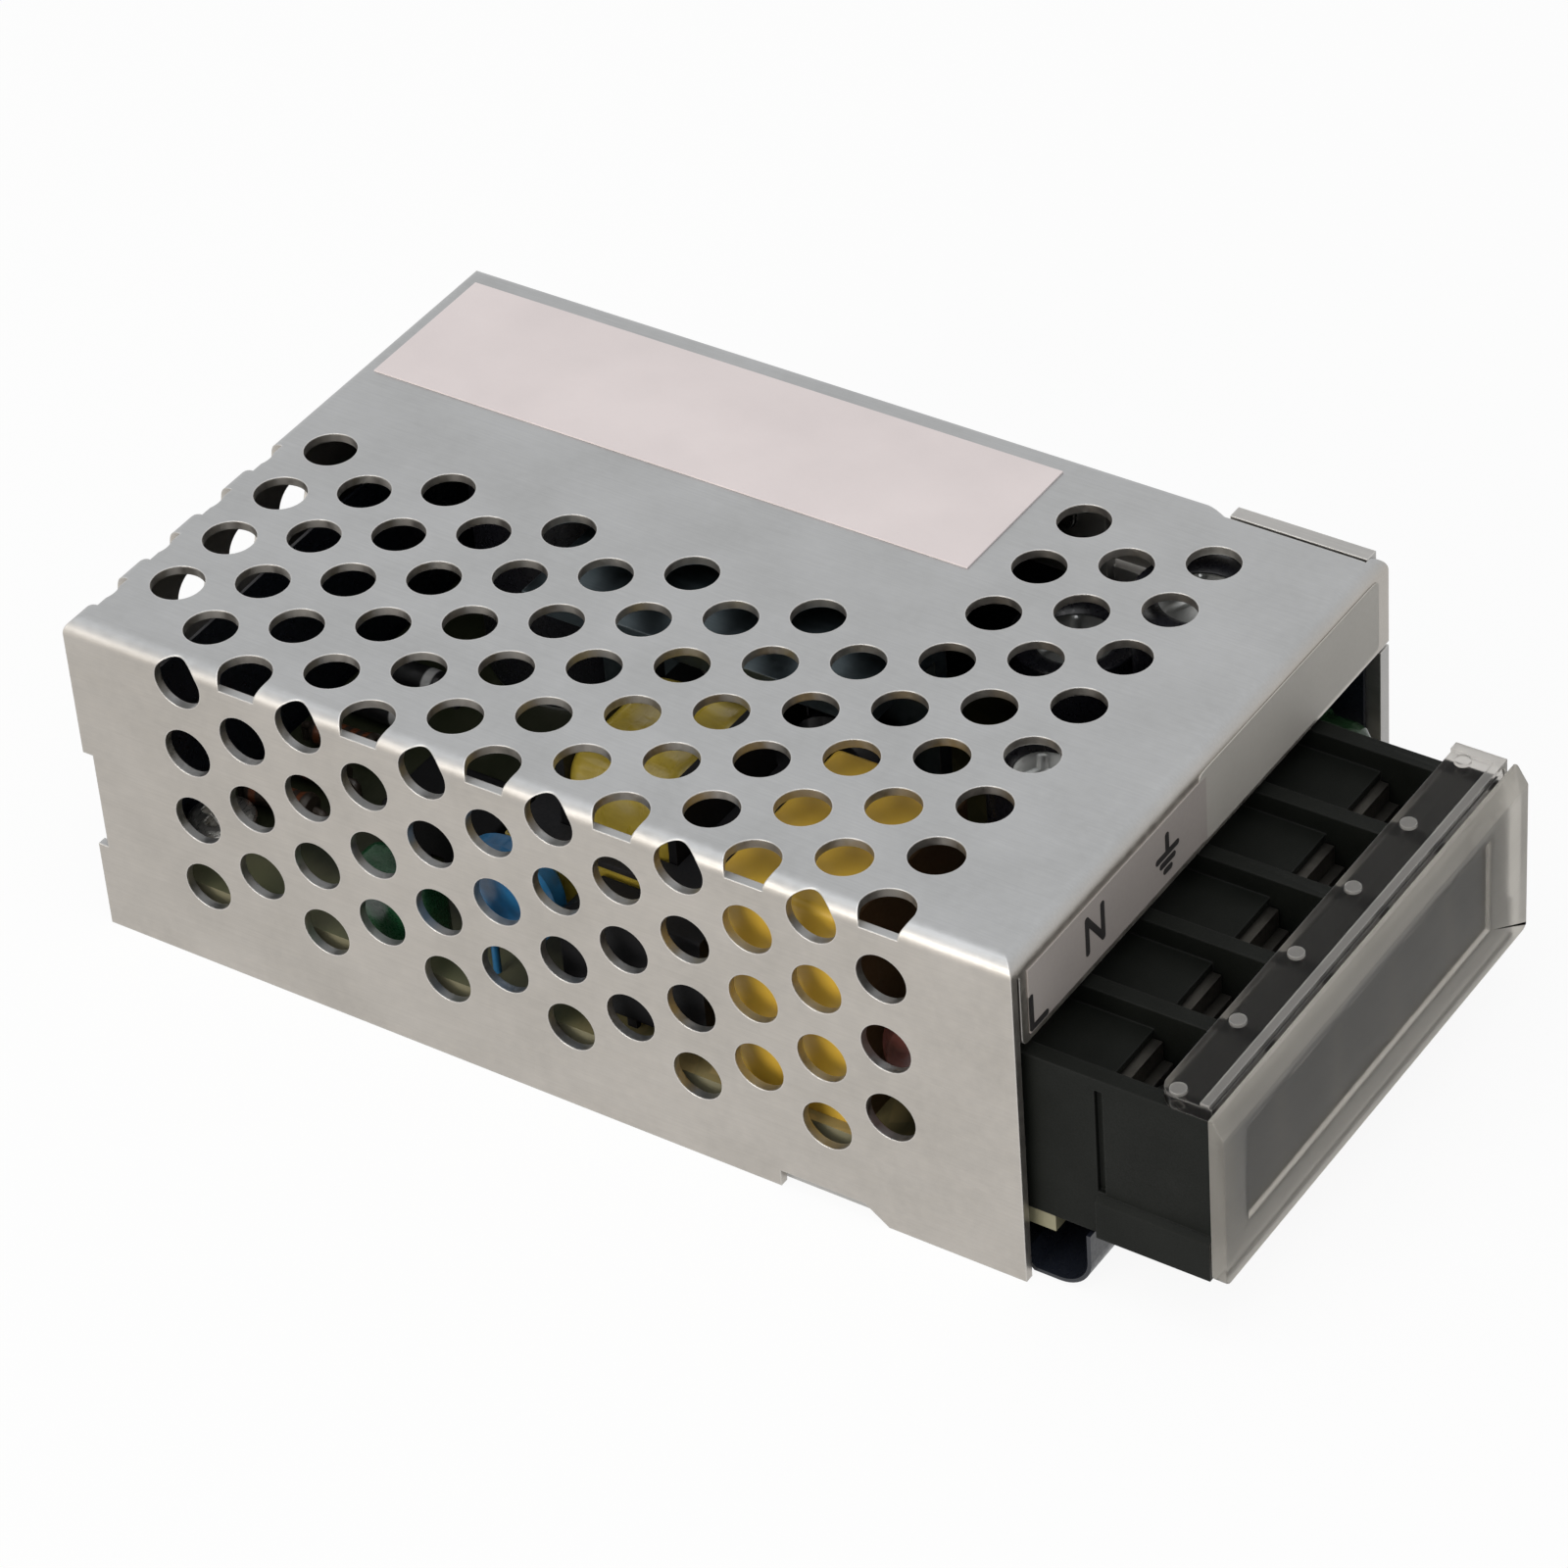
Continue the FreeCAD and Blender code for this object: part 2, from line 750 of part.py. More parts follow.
def sinkHole(body, plane, spot, depth):
    """Countersunk screw hole through a sheet, its wide end in the outer face."""
    x, y, z = spot
    if plane == "XZ":
        pocket(body, plane, y + depth[0], y + depth[1], circles=[(x, z, coverScrewHole)])
        rim = (x, y, z + coverScrewHole)
    else:
        pocket(body, plane, x + depth[0], x + depth[1], circles=[(y, z, coverScrewHole)])
        rim = (x, y, z + coverScrewHole)
    soften(body, "Chamfer", dims.coverScrewSink, [rim])


def makeChassis():
    """Base plate and far wall folded from one sheet, with its lugs, tongues and tapped collars."""
    plateT = dims.chassisSheet
    chassis = newBody("chassis")
    section = [
        (coverInnerY, 0),
        (farY, 0),
        (farY, topZ),
        (wallInnerY, topZ),
        (wallInnerY, floorZ),
        (coverInnerY, floorZ),
    ]
    pad(chassis, "YZ", baseBackX, frontX, [section])
    soften(chassis, "Fillet", dims.bendRadius + plateT, [(0, farY, 0)])
    soften(chassis, "Fillet", dims.bendRadius, [(0, wallInnerY, floorZ)])
    baseEnd = rectangle((baseFrontX, frontX + beyond), (nearY, wallInnerY - dims.bendRadius))
    pocket(chassis, "XY", -beyond, floorZ + beyond, [baseEnd])
    flangeRear = frontX - dims.coverSheet - dims.seamGap
    behindFlange = rectangle((flangeRear, frontX + beyond), (flangeLowZ - dims.seamGap, topZ + beyond))
    skirtFront = frontX - dims.skirtEnd + dims.skirtSlant + dims.seamGap
    underSkirt = rectangle((backX, skirtFront), (skirtLowZ - dims.seamGap, topZ + beyond))
    pocket(chassis, "XZ", wallInnerY - beyond, farY + beyond, [behindFlange])
    pocket(chassis, "XZ", wallInnerY - beyond, farY + beyond, [underSkirt])
    lugFaceY = farY - dims.lugSetBack
    lugZ = (skirtLowZ - dims.seamGap - plateT, skirtLowZ - dims.seamGap - plateT + dims.lugHeight)
    lugs = [rectangle(around(frontX - back, dims.lugWidth), lugZ) for back in lugBacks]
    pad(chassis, "XZ", lugFaceY - plateT, lugFaceY, lugs)
    lugHoles = [(frontX - back, skirtScrewZ, coverScrewHole) for back in lugBacks]
    pocket(chassis, "XZ", lugFaceY - plateT, lugFaceY, circles=lugHoles)
    tongueBacks = (dims.frontTongueBack, dims.rearTongueBack)
    tongueY = span(coverInnerY, plateT)
    tongues = [rectangle(around(frontX - back, dims.tongueLength), tongueY) for back in tongueBacks]
    pad(chassis, "XY", 0, dims.tongueHeight, tongues)
    tabY = farY - dims.backTabIn
    tab = rectangle(span(baseBackX, plateT), around(tabY, dims.backTabWidth))
    pad(chassis, "XY", 0, dims.backTabHeight, [tab])
    tabHole = [(tabY, dims.backScrewHeight, coverScrewHole)]
    pocket(chassis, "YZ", baseBackX, baseBackX + plateT, circles=tabHole)
    cutMounts(chassis)
    seats = [(x, y, dims.spigotRadius + dims.screwClearance) for x, y in standoffs]
    pocket(chassis, "XY", 0, floorZ, circles=seats)
    return chassis


def cutMounts(chassis):
    """Tapped collars for the mounting screws, two in the base and two in the far wall."""
    collar = dims.mountCollarRadius
    core = dims.mountCoreRadius
    collarTop = floorZ + dims.mountCollarRise
    collarY = wallInnerY - dims.mountCollarRise
    pad(chassis, "XY", 0, collarTop, circles=[(x, 0, collar) for x in mountXs])
    pocket(chassis, "XY", 0, collarTop, circles=[(x, 0, core) for x in mountXs])
    wallSpots = [(x, dims.wallMountHeight) for x in mountXs]
    pad(chassis, "XZ", collarY, farY, circles=[(x, z, collar) for x, z in wallSpots])
    pocket(chassis, "XZ", collarY, farY, circles=[(x, z, core) for x, z in wallSpots])


def screw(name, spot, axis, shank, head, rise, length):
    """Screw with a bevelled pan head, its shank running down the axis from the seat."""
    bevel = rise / 3
    profile = [
        (0, rise),
        (head - bevel, rise),
        (head, rise - bevel),
        (head, 0),
        (shank, 0),
        (shank, -length),
        (0, -length),
    ]
    return turned(name, profile, spot, axis)


def makeCoverScrews():
    """Countersunk screws, two through the skirt and one through the back panel."""
    sink = dims.coverScrewSink
    shank = dims.coverScrewRadius
    wide = shank + sink
    tip = -dims.coverScrewLength
    outward = [(0, 0), (wide, 0), (shank, -sink), (shank, tip), (0, tip)]
    inward = [(across, -sized(up)) for across, up in outward]
    pieces = [
        turned("skirtScrew", outward, (frontX - back, farY, skirtScrewZ), "Y")
        for back in lugBacks
    ]
    backSpot = (backX, farY - dims.backTabIn, dims.backScrewHeight)
    pieces.append(turned("backScrew", inward, backSpot, "X"))
    return group("coverScrews", pieces)


def makeInsulation():
    """Film folded up the far wall and curled up in front of the board."""
    film = dims.filmThickness
    sheetBody = newBody("insulation")
    wallY = wallInnerY - dims.filmGap
    filmX = (backX + dims.filmBack, baseFrontX)
    filmY = coverInnerY + dims.chassisSheet + dims.filmGap
    section = [
        (filmY, floorZ),
        (wallY, floorZ),
        (wallY, dims.filmWallTop),
        (wallY - film, dims.filmWallTop),
        (wallY - film, floorZ + film),
        (filmY, floorZ + film),
    ]
    pad(sheetBody, "YZ", filmX[0], filmX[1], [section])
    soften(sheetBody, "Fillet", dims.filmBend, [(0, wallY, floorZ)])
    soften(sheetBody, "Fillet", dims.filmBend - film, [(0, wallY - film, floorZ + film)])
    start = baseFrontX - film
    bendX = baseFrontX + film
    lowX = bendX + floorZ - dims.lipLow
    reachX = frontX + dims.lipReach
    lip = [
        (start, floorZ),
        (bendX, floorZ),
        (lowX, dims.lipLow),
        (reachX, dims.lipLow),
        (reachX, dims.lipTop),
        (reachX - film, dims.lipTop),
        (reachX - film, dims.lipLow + film),
        (lowX + film / 2, dims.lipLow + film),
        (bendX + film / 2, floorZ + film),
        (start, floorZ + film),
    ]
    lipY = (coverInnerY, wallY - dims.filmBend - film)
    pad(sheetBody, "XZ", lipY[0], lipY[1], [lip])
    soften(sheetBody, "Fillet", dims.lipBend, [(reachX, 0, dims.lipLow)])
    soften(sheetBody, "Fillet", dims.lipBend - film, [(reachX - film, 0, dims.lipLow + film)])
    holes = [(x, y, dims.filmHoleRadius) for x, y in standoffs]
    holes += [(x, 0, dims.filmHoleRadius) for x in mountXs]
    pocket(sheetBody, "XY", floorZ, floorZ + film, circles=holes)
    wallHoles = [(x, dims.wallMountHeight, dims.filmHoleRadius) for x in mountXs]
    pocket(sheetBody, "XZ", wallY - film, wallY, circles=wallHoles)
    return sheetBody


def makeBoard():
    """Circuit board with its screw holes, terminal pin holes and isolation slot."""
    board = newBody("board")
    boardX = (backX + dims.boardBack, frontX + dims.boardReach)
    boardY = (nearY + dims.boardNear, farY - dims.boardFar)
    pad(board, "XY", boardLowZ, boardTopZ, [rectangle(boardX, boardY)])
    pinX = frontX - dims.tailRear + dims.plateThickness / 2
    holes = [(x, y, dims.boardScrewRadius + dims.screwClearance) for x, y in standoffs]
    holes += [(pinX, y, dims.pinHoleRadius) for y in terminalYs]
    pocket(board, "XY", boardLowZ, boardTopZ, circles=holes)
    slotX = around(frontX - dims.isolationSlotBack, dims.isolationSlotLength)
    slotY = around(nearY + dims.isolationSlotIn, dims.isolationSlotWidth)
    pocket(board, "XY", boardLowZ, boardTopZ, [rectangle(slotX, slotY)])
    return board


def makeStandoffs():
    """Round spacers swaged into the base plate."""
    bore = dims.boardScrewRadius + dims.screwClearance
    spigot = dims.spigotRadius
    shoulder = dims.standoffRadius
    profile = [
        (bore, dims.seamGap),
        (spigot, dims.seamGap),
        (spigot, floorZ),
        (shoulder, floorZ),
        (shoulder, boardLowZ),
        (bore, boardLowZ),
    ]
    return group("standoffs", [turned("standoff", profile, (x, y, 0)) for x, y in standoffs])


def makeBoardScrews():
    pieces = [
        screw(
            "boardScrew",
            (x, y, boardTopZ),
            "Z",
            dims.boardScrewRadius,
            dims.boardScrewHeadRadius,
            dims.boardScrewHeadHeight,
            dims.boardScrewLength,
        )
        for x, y in standoffs
    ]
    return group("boardScrews", pieces)


def makeTerminalBlock():
    """Barrier block: a seat behind, a floor, and ribs between the terminals."""
    block = newBody("terminalBlock")
    blockZ = (boardTopZ, dims.blockTop)
    plinthTop = boardTopZ + dims.plinthHeight
    pad(block, "XZ", blockNearY, blockFarY, [rectangle(blockX, blockZ)])
    plinthX = (frontX + dims.seatFront, blockX[1])
    plinthY = (blockNearY - dims.plinthProud, blockFarY + dims.plinthProud)
    pad(block, "XZ", plinthY[0], plinthY[1], [rectangle(plinthX, (boardTopZ, plinthTop))])
    bevelSpots = [(plinthX[0] + beyond, y, plinthTop) for y in plinthY]
    soften(block, "Chamfer", dims.plinthBevel, bevelSpots)
    floorTop = boardTopZ + dims.blockFloor
    bay = [
        (blockX[0] - beyond, dims.seatTop),
        (seatX, dims.seatTop),
        (seatX, floorTop),
        (blockX[1] + beyond, floorTop),
        (blockX[1] + beyond, dims.blockTop + beyond),
        (blockX[0] - beyond, dims.blockTop + beyond),
    ]
    bayWidth = dims.terminalPitch - dims.ribThickness
    tailTop = dims.tailLow + dims.plateThickness + dims.tailGap
    tailRearX = frontX - dims.tailRear - dims.tailGap
    pinFrontX = frontX - dims.tailRear + dims.plateThickness + dims.tailGap
    tailSlot = [
        (tailRearX, boardTopZ - beyond),
        (pinFrontX, boardTopZ - beyond),
        (pinFrontX, dims.tailLow - dims.tailGap),
        (seatX + beyond, dims.tailLow - dims.tailGap),
        (seatX + beyond, tailTop),
        (tailRearX, tailTop),
    ]
    for y in terminalYs:
        low, high = around(y, bayWidth)
        pocket(block, "XZ", low, high, [bay])
    for y in terminalYs:
        low, high = around(y, dims.tailWidth + 2 * dims.tailGap)
        pocket(block, "XZ", low, high, [tailSlot])
    screwHole = dims.terminalScrewRadius + dims.screwClearance
    screwHoles = [(y, dims.terminalScrewHeight, screwHole) for y in terminalYs]
    pocket(block, "YZ", seatX - dims.terminalScrewLength, seatX, circles=screwHoles)
    grooves = rectangle(span(seatX, dims.grooveWidth), (dims.grooveLow, dims.grooveHigh))
    pocket(block, "XZ", blockNearY, blockNearY + dims.grooveDepth, [grooves])
    pocket(block, "XZ", blockFarY - dims.grooveDepth, blockFarY, [grooves])
    pegHole = dims.pegRadius + dims.screwClearance
    pegHoles = [(pegX, y, pegHole) for y in ribYs]
    pegDepth = dims.pegLength + dims.screwClearance
    pocket(block, "XY", dims.blockTop - pegDepth, dims.blockTop, circles=pegHoles)
    return block


def makeTerminalPlates():
    """Plated terminals: an upright face, a tail through the moulding and a pin into the board."""
    plateX = span(seatX, dims.plateThickness)
    tailX = (frontX - dims.tailRear, plateX[0])
    pinX = span(frontX - dims.tailRear, dims.plateThickness)
    tailZ = span(dims.tailLow, dims.plateThickness)
    hole = dims.terminalScrewRadius + dims.screwClearance
    pieces = []
    for y in terminalYs:
        face = box("plateFace", plateX, around(y, dims.plateWidth), span(dims.plateLow, dims.plateHeight))
        tail = box("plateTail", tailX, around(y, dims.tailWidth), tailZ)
        pin = box("platePin", pinX, around(y, dims.tailPinWidth), (dims.pinTip, tailZ[0]))
        bent = join("plateBent", [face, tail, pin])
        start = (plateX[0] - beyond, y, dims.terminalScrewHeight)
        bore = rod("plateBore", "X", hole, start, dims.plateThickness + 2 * beyond)
        pieces.append(cut("terminalPlate", bent, [bore]))
    return group("terminalPlates", pieces)


def makeTerminalWashers():
    """Square clamping washers under the screw heads."""
    washerX = span(seatX + dims.plateThickness, dims.washerThickness)
    hole = dims.terminalScrewRadius + dims.screwClearance
    pieces = []
    for y in terminalYs:
        square = (around(y, dims.washerWidth), around(dims.terminalScrewHeight, dims.washerWidth))
        flat = box("washerFlat", washerX, square[0], square[1])
        start = (washerX[0] - beyond, y, dims.terminalScrewHeight)
        bore = rod("washerBore", "X", hole, start, dims.washerThickness + 2 * beyond)
        pieces.append(cut("terminalWasher", flat, [bore]))
    return group("terminalWashers", pieces)


def makeTerminalScrews():
    """Pan heads facing forwards, their shanks down through the plates into the moulding."""
    seat = seatX + dims.plateThickness + dims.washerThickness
    shank = dims.terminalScrewRadius
    head = dims.terminalScrewHeadRadius
    rise = dims.terminalScrewHeadHeight
    dome = dims.terminalScrewDome
    profile = [
        (0, rise),
        (head - 2 * dome, rise),
        (head, rise - dome),
        (head, 0),
        (shank, 0),
        (shank, -dims.terminalScrewLength),
        (0, -dims.terminalScrewLength),
    ]
    pieces = [
        turned("terminalScrew", profile, (seat, y, dims.terminalScrewHeight), "X")
        for y in terminalYs
    ]
    return group("terminalScrews", pieces)


# Clear terminal cover: its top face, and the line that the flap turns about
coverTopZ = dims.blockTop + dims.stripThickness
stripFrontX = frontX + dims.terminalReach - dims.flapThickness - dims.hingeGap
flapX = (frontX + dims.terminalReach - dims.flapThickness, frontX + dims.terminalReach)


def makeCoverStrip():
    """Clear strip pegged on the ribs, with the ridge beside the hinge line."""
    strip = newBody("coverStrip")
    stripX = (frontX + dims.stripRear, stripFrontX)
    pad(strip, "XY", dims.blockTop, coverTopZ, [rectangle(stripX, (blockNearY, blockFarY))])
    middleZ = dims.blockTop + dims.stripThickness / 2
    soften(strip, "Fillet", dims.stripCorner, [(stripX[0], blockNearY, middleZ)])
    ridgeFront = stripX[1] - dims.hingeGap
    ridge = rectangle((ridgeFront - dims.ridgeWidth, ridgeFront), (blockNearY, blockFarY))
    pad(strip, "XY", coverTopZ, coverTopZ + dims.ridgeHeight, [ridge])
    endLip = rectangle((stripX[0], ridgeFront), span(blockFarY, dims.endLipWidth))
    pad(strip, "XY", dims.blockTop, coverTopZ + dims.endLipHeight, [endLip])
    bosses = [(pegX, y, dims.bossRadius) for y in ribYs]
    pad(strip, "XY", coverTopZ, coverTopZ + dims.bossHeight, circles=bosses)
    pegs = [(pegX, y, dims.pegRadius) for y in ribYs]
    pad(strip, "XY", dims.blockTop - dims.pegLength, dims.blockTop, circles=pegs)
    return strip


def makeCoverFlap():
    """Clear flap: a bevelled head at the hinge line over a plate with a sunk window."""
    flap = newBody("coverFlap")
    flapY = span(nearY + dims.flapNear, dims.flapWidth)
    section = [
        (flapX[0], coverTopZ),
        (flapX[0] + dims.flapHeelWidth, coverTopZ),
        (flapX[1], coverTopZ - dims.flapBevelDrop),
        (flapX[1], dims.flapLow),
        (flapX[0], dims.flapLow),
    ]
    pad(flap, "XZ", flapY[0], flapY[1], [section])
    window = rectangle(
        span(nearY + dims.windowNear, dims.windowWidth),
        span(dims.windowLow, dims.windowHeight),
    )
    pocket(flap, "YZ", flapX[1] - dims.windowDepth, flapX[1], [window])
    lowerCorners = [(flapX[1] - dims.flapThickness / 2, y, dims.flapLow) for y in flapY]
    soften(flap, "Fillet", dims.flapCorner / 2, lowerCorners)
    return flap


def makeFuse():
    """Glass tube between two crimped caps, on two short leads."""
    axisZ = boardTopZ + dims.fuseRadius + dims.fuseCapThickness + dims.axialLift
    x = frontX - dims.fuseBack
    near = nearY + dims.fuseNear
    start = (x, near + dims.seamGap, axisZ)
    keep("fuse_tube", rod("fuseGlass", "Y", dims.fuseRadius, start, dims.fuseLength - 2 * dims.seamGap))
    capRadius = dims.fuseRadius + dims.fuseCapThickness
    wall = dims.seamGap - dims.screwClearance
    caps = []
    for end, far in ((near, False), (near + dims.fuseLength, True)):
        profile = [
            (0, 0),
            (capRadius, 0),
            (capRadius, dims.fuseCapLength),
            (dims.fuseRadius + dims.screwClearance / 2, dims.fuseCapLength),
            (dims.fuseRadius + dims.screwClearance / 2, wall),
            (0, wall),
        ]
        if far:
            profile = [(across, -sized(up)) for across, up in profile]
        cap = turned("fuseCap", profile, (x, end, axisZ), "Y")
        middle = end - dims.fuseCapLength / 2 if far else end + dims.fuseCapLength / 2
        foot = (x, middle, boardTopZ)
        lead = rod("fuseLead", "Z", dims.leadRadius, foot, dims.axialLift + capRadius / 2)
        hollow = dims.fuseRadius + dims.screwClearance
        core = rod("fuseCore", "Y", hollow, (x, near, axisZ), dims.fuseLength)
        caps.append(join("fuseEnd", [cap, cut("fuseFoot", lead, [core])]))
    keep("fuse_caps", group("fuseCaps", caps))


def disc(name, spot, radius, thickness):
    """Dipped disc standing on two leads, its flat sides facing along Y."""
    x, y, z = spot
    rim = dims.discRim
    profile = [
        (0, 0),
        (radius - rim, 0),
        (radius, rim),
        (radius, thickness - rim),
        (radius - rim, thickness),
        (0, thickness),
    ]
    body = turned(f"{name}Body", profile, (x, y, z), "Y")
    feet = [(x + side * radius / 2, y + thickness / 2, boardTopZ) for side in (-1, 1)]
    leads = [rod(f"{name}Lead", "Z", dims.leadRadius, foot, z - boardTopZ) for foot in feet]
    return join(name, [body] + leads)


def makeDiscs():
    """Inrush thermistor and the two capacitors across the isolation barrier."""
    x = frontX - dims.thermistorBack
    z = boardTopZ + dims.discLift + dims.thermistorRadius
    spot = (x, nearY + dims.thermistorNear, z)
    thermistor = disc("thermistor", spot, dims.thermistorRadius, dims.thermistorThickness)
    keep("inrush_thermistor", thermistor)
    pieces = []
    z = boardTopZ + 2 * dims.discLift + dims.yCapacitorRadius - dims.axialLift
    for back, near in (
        (dims.nearYCapacitorBack, dims.nearYCapacitorNear),
        (dims.farYCapacitorBack, dims.farYCapacitorNear),
    ):
        spot = (frontX - back, nearY + near, z)
        pieces.append(disc("yCapacitor", spot, dims.yCapacitorRadius, dims.yCapacitorThickness))
    keep("y_capacitors", group("yCapacitors", pieces))


def roundedBox(name, x, y, z, edge):
    """Moulded box with its upright and top edges rounded."""
    body = newBody(name)
    pad(body, "XY", z[0], z[1], [rectangle(x, y)])
    middle = ((x[0] + x[1]) / 2, (y[0] + y[1]) / 2, (z[0] + z[1]) / 2)
    spots = [(across, middle[1], z[1]) for across in x]
    spots += [(middle[0], along, z[1]) for along in y]
    spots += [(across, along, middle[2]) for across in x for along in y]
    soften(body, "Fillet", edge, spots)
    return body


def makeBoxCapacitors():
    """Box capacitor across the mains and the smaller film capacitor."""
    x = span(frontX - dims.xCapacitorBack - dims.xCapacitorLength, dims.xCapacitorLength)
    y = span(nearY + dims.xCapacitorNear, dims.xCapacitorWidth)
    z = span(boardTopZ, dims.xCapacitorHeight)
    keep("x_capacitor", roundedBox("xCapacitor", x, y, z, dims.boxEdge))
    x = span(frontX - dims.filmCapacitorBack - dims.filmCapacitorLength, dims.filmCapacitorLength)
    y = span(nearY + dims.filmCapacitorNear, dims.filmCapacitorWidth)
    z = span(boardTopZ, dims.filmCapacitorHeight)
    keep("film_capacitor", roundedBox("filmCapacitor", x, y, z, 2 * dims.boxEdge))


def makeInputChoke():
    """Common-mode choke: a ferrite ring with two windings on a moulded base with a divider."""
    x = frontX - dims.chokeBack
    y = nearY + dims.chokeIn
    ring = dims.chokeRingRadius
    core = dims.chokeRingSection
    wound = dims.chokeWindingSection
    ringZ = boardTopZ + dims.chokeBaseHeight + wound
    torus = doc.addObject("Part::Torus", "chokeRing")
    bind(torus, "Radius1", ring)
    bind(torus, "Radius2", core)
    place(torus, (x, y, ringZ))
    keep("choke_core", torus)
    windings = []
    for side in (0, 1):
        coil = doc.addObject("Part::Torus", "chokeCoil")
        middle = (2 * side - 1) * quarterTurn
        turn = Rotation(Vector(0, 0, 1), middle - dims.chokeWindingSweep.value / 2)
        coil.Placement = FreeCAD.Placement(Vector(), turn)
        bind(coil, "Radius1", ring)
        bind(coil, "Radius2", wound)
        bind(coil, "Angle3", dims.chokeWindingSweep)
        place(coil, (x, y, ringZ))
        hollow = doc.addObject("Part::Torus", "chokeHollow")
        bind(hollow, "Radius1", ring)
        bind(hollow, "Radius2", core + dims.screwClearance)
        place(hollow, (x, y, ringZ))
        windings.append(cut("chokeWinding", coil, [hollow]))
    keep("choke_windings", group("chokeWindings", windings))
    reach = 2 * (ring + wound)
    plateZ = span(boardTopZ, dims.chokeBaseHeight)
    plate = roundedBox("chokePlate", around(x, reach), around(y, reach), plateZ, dims.bendRadius)
    inner = ring - core - 2 * dims.screwClearance
    dividerZ = span(boardTopZ, dims.chokeBaseHeight + dims.chokeDividerHeight)
    divider = box("chokeDivider", around(x, 2 * inner), around(y, dims.chokeDividerThickness), dividerZ)
    keep("choke_base", join("chokeBase", [plate, divider]))


def can(name, back, y, radius, height):
    """Aluminium can with its crimped groove and raised rim, standing on the board."""
    groove = dims.canGrooveHeight
    pinch = dims.canGroove
    rim = dims.canRim
    profile = [
        (0, 0),
        (radius, 0),
        (radius, groove - pinch),
        (radius - pinch, groove),
        (radius, groove + pinch),
        (radius, height - rim),
        (radius - rim, height),
        (radius - 2 * rim, height),
        (radius - 3 * rim, height - rim),
        (0, height - rim),
    ]
    return turned(name, profile, (frontX - back, y, boardTopZ))


def sleeve(name, back, y, radius, height):
    """Shrink sleeve round a can, turned in over its rim."""
    inner = radius + dims.sleeveGap
    outer = inner + dims.sleeveThickness
    low = dims.canGroove
    profile = [
        (inner, low),
        (outer, low),
        (outer, height + dims.sleeveThickness + dims.sleeveGap),
        (radius - dims.canRim, height + dims.sleeveThickness + dims.sleeveGap),
        (radius - dims.canRim, height + dims.sleeveGap),
        (inner, height + dims.sleeveGap),
    ]
    return turned(name, profile, (frontX - back, y, boardTopZ))


def makeCapacitors():
    """Bulk capacitor and the low-voltage cans, each in its sleeve."""
    bulk = (dims.bulkBack, farY - dims.bulkIn, dims.bulkRadius, dims.bulkHeight)
    keep("bulk_capacitor", can("bulkCan", *bulk))
    keep("bulk_capacitor_sleeve", sleeve("bulkSleeve", *bulk))
    large = dims.largeCanRadius
    small = dims.smallCanRadius
    cans = [
        (dims.outputCapacitorBack, farY - dims.outputCapacitorIn, large, dims.largeCanHeight),
        (dims.secondCapacitorBack, farY - dims.secondCapacitorIn, large, dims.lowCanHeight),
        (dims.thirdCapacitorBack, farY - dims.thirdCapacitorIn, small, dims.lowCanHeight),
        (dims.vccCapacitorBack, nearY + dims.vccCapacitorIn, small, dims.smallCanHeight),
    ]
    keep("output_capacitors", group("outputCans", [can("outputCan", *each) for each in cans]))
    sleeves = [sleeve("outputSleeve", *each) for each in cans]
    keep("output_capacitor_sleeves", group("outputSleeves", sleeves))


